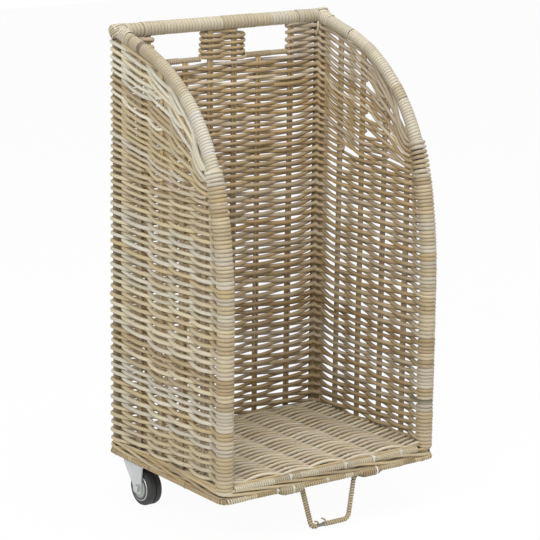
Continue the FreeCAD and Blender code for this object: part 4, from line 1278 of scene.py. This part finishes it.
# Stand: a bent wire under the front, wound with cane that has come loose beside the foot.
# Its two tails are bound to the front base rail with fine cane and one pale tie each.
STAND_CANE = 0.0047
STAND_CANE_THICK = 0.0034
STAND_COVER = 0.46
STAND_PROUD = 0.0002
STAND_TAIL = 0.046
TAIL_LIFT = 0.009  # the tails lie beside the bound rod
STAND_SHIFT = 0.004
TAIL_SHIFT = 0.008  # the left tail lies nearer the corner than the right one
FOOT_SHIFT = 0.7  # share of that shift at the left end of the foot
FOOT_HALF = 0.036
TOP_BEND = 0.009
FOOT_BEND = 0.010
WIRE_DARK = (0.14, 0.14, 0.125, 1)
WIRE_LIGHT = (0.28, 0.275, 0.24, 1)
WIRE_STEP = 0.002
BEND_POINTS = 9
TOP_BEND_SHARE = 0.6  # the loop's wrap starts within its top bends
BARE_WIRE = (0.006, 0.021)  # from the start of the foot, where the cane is broken
FOOT_LEVEL = 0.0004
SEARCH_STEP = 0.001
LOOSE_RISE = (0.003, 0.006)
LOOSE_CURL = 0.003
LOOSE_TURN = 4  # radians
LOOSE_CANE = 0.0014
low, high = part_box("stand_wire")
STAND_Y = (low.y + high.y) / 2
WIRE_RADIUS = (high.y - low.y) / 2
foot_x = (low.x + high.x) / 2 + STAND_SHIFT
tail_z = high.z - WIRE_RADIUS + TAIL_LIFT
foot_z = low.z + WIRE_RADIUS
stops = [Vector((x, STAND_Y, z)) for x, z in (
    (low.x - TAIL_SHIFT, tail_z), (low.x + STAND_TAIL - TAIL_SHIFT, tail_z),
    (foot_x - FOOT_HALF - TAIL_SHIFT * FOOT_SHIFT, foot_z), (foot_x + FOOT_HALF, foot_z),
    (high.x - STAND_TAIL, tail_z), (high.x, tail_z))]
wire_line = [stops[0]]
bend_radii = (TOP_BEND, FOOT_BEND, FOOT_BEND, TOP_BEND)
for before, bend, after, radius in zip(stops, stops[1:], stops[2:], bend_radii):
    inward = (before - bend).normalized()
    outward = (after - bend).normalized()
    half = inward.angle(outward) / 2
    centre = bend + (inward + outward).normalized() * radius / math.sin(half)
    first = bend + inward * radius / math.tan(half)
    last = bend + outward * radius / math.tan(half)
    for t in np.linspace(0, 1, BEND_POINTS):
        wire_line.append(centre + (first - centre).lerp(last - centre, t).normalized() * radius)
wire_line.append(stops[-1])
wire_run = run_of(wire_line, (0, 1, 0))


def on_wire(length):
    return wire_run[0](np.array([length]))[0][0]


loop_start = STAND_TAIL - TOP_BEND * TOP_BEND_SHARE
loop_end = wire_run[1] - loop_start
searched = np.arange(loop_start, loop_end, SEARCH_STEP)
foot_start = next(length for length in searched if on_wire(length)[2] < foot_z + FOOT_LEVEL)
broken = [foot_start + reach for reach in BARE_WIRE]
low_wrap, high_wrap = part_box("stand_wrap")
wrap_radius = (high_wrap.y - low_wrap.y) / 2 + STAND_PROUD
stand_rods = []
for start, end, sections in ((loop_start, broken[0], 2), (broken[1], loop_end, 4)):
    stand_rods += wrap(wire_run, start, end, wrap_radius, STAND_CANE, STAND_CANE_THICK, RAIL_TONES, sections,
                       STAND_COVER)
for start, rise in zip(broken, LOOSE_RISE):
    t = np.linspace(0, 1, 14)[:, None]
    turn = t * LOOSE_TURN
    lift = np.hstack([LOOSE_CURL * np.sin(turn), -LOOSE_CURL * np.cos(turn), wrap_radius + rise * t])
    stand_rods.append(strand(on_wire(start) + lift, LOOSE_CANE, pick(RAIL_TONES)))
lay_strands("stand_cane", stand_rods, split_cane, ("stand_wrap",))

BINDING_WIDTH = 0.0096
BINDING_CANE = 0.0044
BINDING_PAST = (0.006, 0.004)  # beyond the ends of the left and right tails
BINDING_SHORT = 0.004  # and short of their bends
BINDING_BELOW = 0.0012
BINDING_ABOVE = 0.0008
BINDING_ENDS = (0.62, 0.8)  # height and width at its two ends, in full ones
SWELL_TURNS = 2.5
BINDING_FLATNESS = 0.6
TIE_PLACES = (0.5, 0.72)
TAIL_TIE_LIFT = 0.0006
TAIL_TIE_PITCH = 0.0002
TAIL_TIE_CANE = 0.0014
oval_low = tail_z - WIRE_RADIUS - BINDING_BELOW
oval_high = rail_z + rail_radius + BINDING_ABOVE
oval_y = (STAND_Y + WIRE_RADIUS + FRONT_Y - rail_reach - rail_radius) / 2
end_height, end_width = BINDING_ENDS
left_ends = (low.x - BINDING_PAST[0] - TAIL_SHIFT, low.x + STAND_TAIL - BINDING_SHORT - TAIL_SHIFT)
right_ends = (high.x - STAND_TAIL + BINDING_SHORT, high.x + BINDING_PAST[1])
binding_rods = []
for (first, last), tie in zip((left_ends, right_ends), TIE_PLACES):
    turns = round((last - first) / BINDING_CANE)
    turn = np.linspace(0, turns, turns * WIND_STEPS)
    angle = turn * 2 * math.pi
    outward = np.column_stack([np.zeros_like(turn), np.cos(angle), np.sin(angle)])
    swell = np.clip(np.minimum(turn, turns - turn) / SWELL_TURNS, 0, 1) ** 0.5
    half = (oval_high - oval_low) / 2 * (end_height + (1 - end_height) * swell)
    wide = BINDING_WIDTH * (end_width + (1 - end_width) * swell)
    oval = np.column_stack([first + (last - first) * turn / turns, oval_y + wide * np.cos(angle),
                            (oval_high - half) + half * np.sin(angle)])
    binding_rods.append(strand(oval, BINDING_CANE / 2, pick(RAIL_TONES), (outward, BINDING_FLATNESS)))
    tie_x = first + (last - first) * tie
    angle = np.linspace(0, 4 * math.pi, 40)
    outward = np.column_stack([np.zeros_like(angle), np.cos(angle), np.sin(angle)])
    half = (oval_high - oval_low) / 2 + TAIL_TIE_LIFT
    wide = BINDING_WIDTH + TAIL_TIE_LIFT
    band = np.column_stack([tie_x + angle * TAIL_TIE_PITCH, oval_y + wide * np.cos(angle),
                            (oval_high + oval_low) / 2 + half * np.sin(angle)])
    binding_rods.append(strand(band, TAIL_TIE_CANE, pick(TIE_TONES), (outward, BINDING_FLATNESS)))
lay_strands("stand_binding_cane", binding_rods, split_cane, ("stand_bindings",))
dark_wire = coated("dark_wire", WIRE_DARK, WIRE_LIGHT, clouds=120.0, metallic=0.3, roughness=0.5, relief=0.2)
wire_points = [on_wire(length) for length in np.arange(0, wire_run[1], WIRE_STEP)]
lay_strands("stand_rod", [strand(wire_points, WIRE_RADIUS, RAIL_TONES[2])], dark_wire,
            ("stand_wire",))


# Castors: pressed zinc-plated forks that swivel on a bolt, with a plastic wheel and guards of grey-green,
# painted darker toward their edge as painted shade in the dish, and a black rubber tyre with a bright ring on
# both of its sides. The gussets carry them.
ZINC_DARK = (0.5, 0.525, 0.52, 1)
ZINC_LIGHT = (0.68, 0.7, 0.69, 1)
GUARD_DARK = (0.36, 0.39, 0.35, 1)
GUARD_LIGHT = (0.47, 0.5, 0.45, 1)
# painted shade: the guards darken to this toward their edge, for the shadow in the dish next to the tyre
DISH_SHADE_COLOUR = (0.05, 0.055, 0.05, 1)
TYRE_DARK = (0.016, 0.017, 0.017, 1)
TYRE_LIGHT = (0.045, 0.046, 0.044, 1)
HUB_RADIUS = 0.0155
HUB_EDGE = 0.0185
RIM_RING = 0.0218
RING_THICK = 0.0011
RING_PROUD = 0.0002
RING_SIDES = 10
RING_STEPS = 72
ZINC_PIECES = ("head", "kingpin", "fork", "ring", "axle_bolt", "axle_nut")
zinc = coated("zinc_plate", ZINC_DARK, ZINC_LIGHT, clouds=45.0, metallic=0.75, roughness=0.38, relief=0.08)
guard_plastic = coated("guard_plastic", GUARD_DARK, GUARD_LIGHT, clouds=70.0, metallic=0.0, roughness=0.42,
                       relief=0.08)
tyre_rubber = coated("tyre_rubber", TYRE_DARK, TYRE_LIGHT, clouds=90.0, metallic=0.0, roughness=0.55,
                     relief=0.2)

low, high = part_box("castor_left_tyre")
axle = (0, (low.y + high.y) / 2, (low.z + high.z) / 2)
tree = guard_plastic.node_tree
skin = next(node for node in tree.nodes if node.bl_idname == "ShaderNodeBsdfPrincipled")
plain = skin.inputs["Base Color"].links[0].from_socket
place = add_node(tree, "ShaderNodeTexCoord").outputs["Object"]
centred = add_node(tree, "ShaderNodeVectorMath", "SUBTRACT", _0=place, _1=axle).outputs[0]
upright = add_node(tree, "ShaderNodeVectorMath", "MULTIPLY", _0=centred, _1=(0, 1, 1)).outputs[0]
radius = add_node(tree, "ShaderNodeVectorMath", "LENGTH", _0=upright).outputs["Value"]
# Painted shade: darker from the hub's edge outward, where the dish falls into shadow
dish_shade = ranged(tree, radius, From_Min=HUB_RADIUS, From_Max=HUB_EDGE)
tree.links.new(mixed_colour(tree, dish_shade, plain, DISH_SHADE_COLOUR), skin.inputs["Base Color"])

finish_nodes(zinc, "kingpin_nuts")
for side, _ in SIDES:
    name = "castor_" + side + "_"
    finish_nodes(zinc, *[name + piece for piece in ZINC_PIECES])
    finish_nodes(guard_plastic, name + "thread_guards", name + "wheel_core")
    finish_nodes(tyre_rubber, name + "tyre")
    low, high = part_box(name + "tyre")
    centre = (low + high) / 2
    build = bmesh.new()
    for x in (low.x - RING_PROUD, high.x + RING_PROUD):
        top = Matrix.Translation((x, centre.y, centre.z + RIM_RING))
        outline = top @ Matrix.Rotation(math.pi / 2, 4, "X")
        made = bmesh.ops.create_circle(build, segments=RING_SIDES, radius=RING_THICK, matrix=outline)
        circle = made["verts"]
        edges = list(dict.fromkeys(edge for vert in circle for edge in vert.link_edges))
        bmesh.ops.spin(build, geom=circle + edges, cent=centre, axis=(1, 0, 0), angle=2 * math.pi,
                       steps=RING_STEPS, use_merge=True)
    bmesh.ops.recalc_face_normals(build, faces=build.faces)
    mesh = bpy.data.meshes.new("wheel_rings_" + side)
    build.to_mesh(mesh)
    build.free()
    mesh.shade_smooth()
    mesh.materials.append(zinc)
    rings = bpy.data.objects.new("wheel_rings_" + side, mesh)
    scene.collection.objects.link(rings)
    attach(rings, "wheel_" + side)
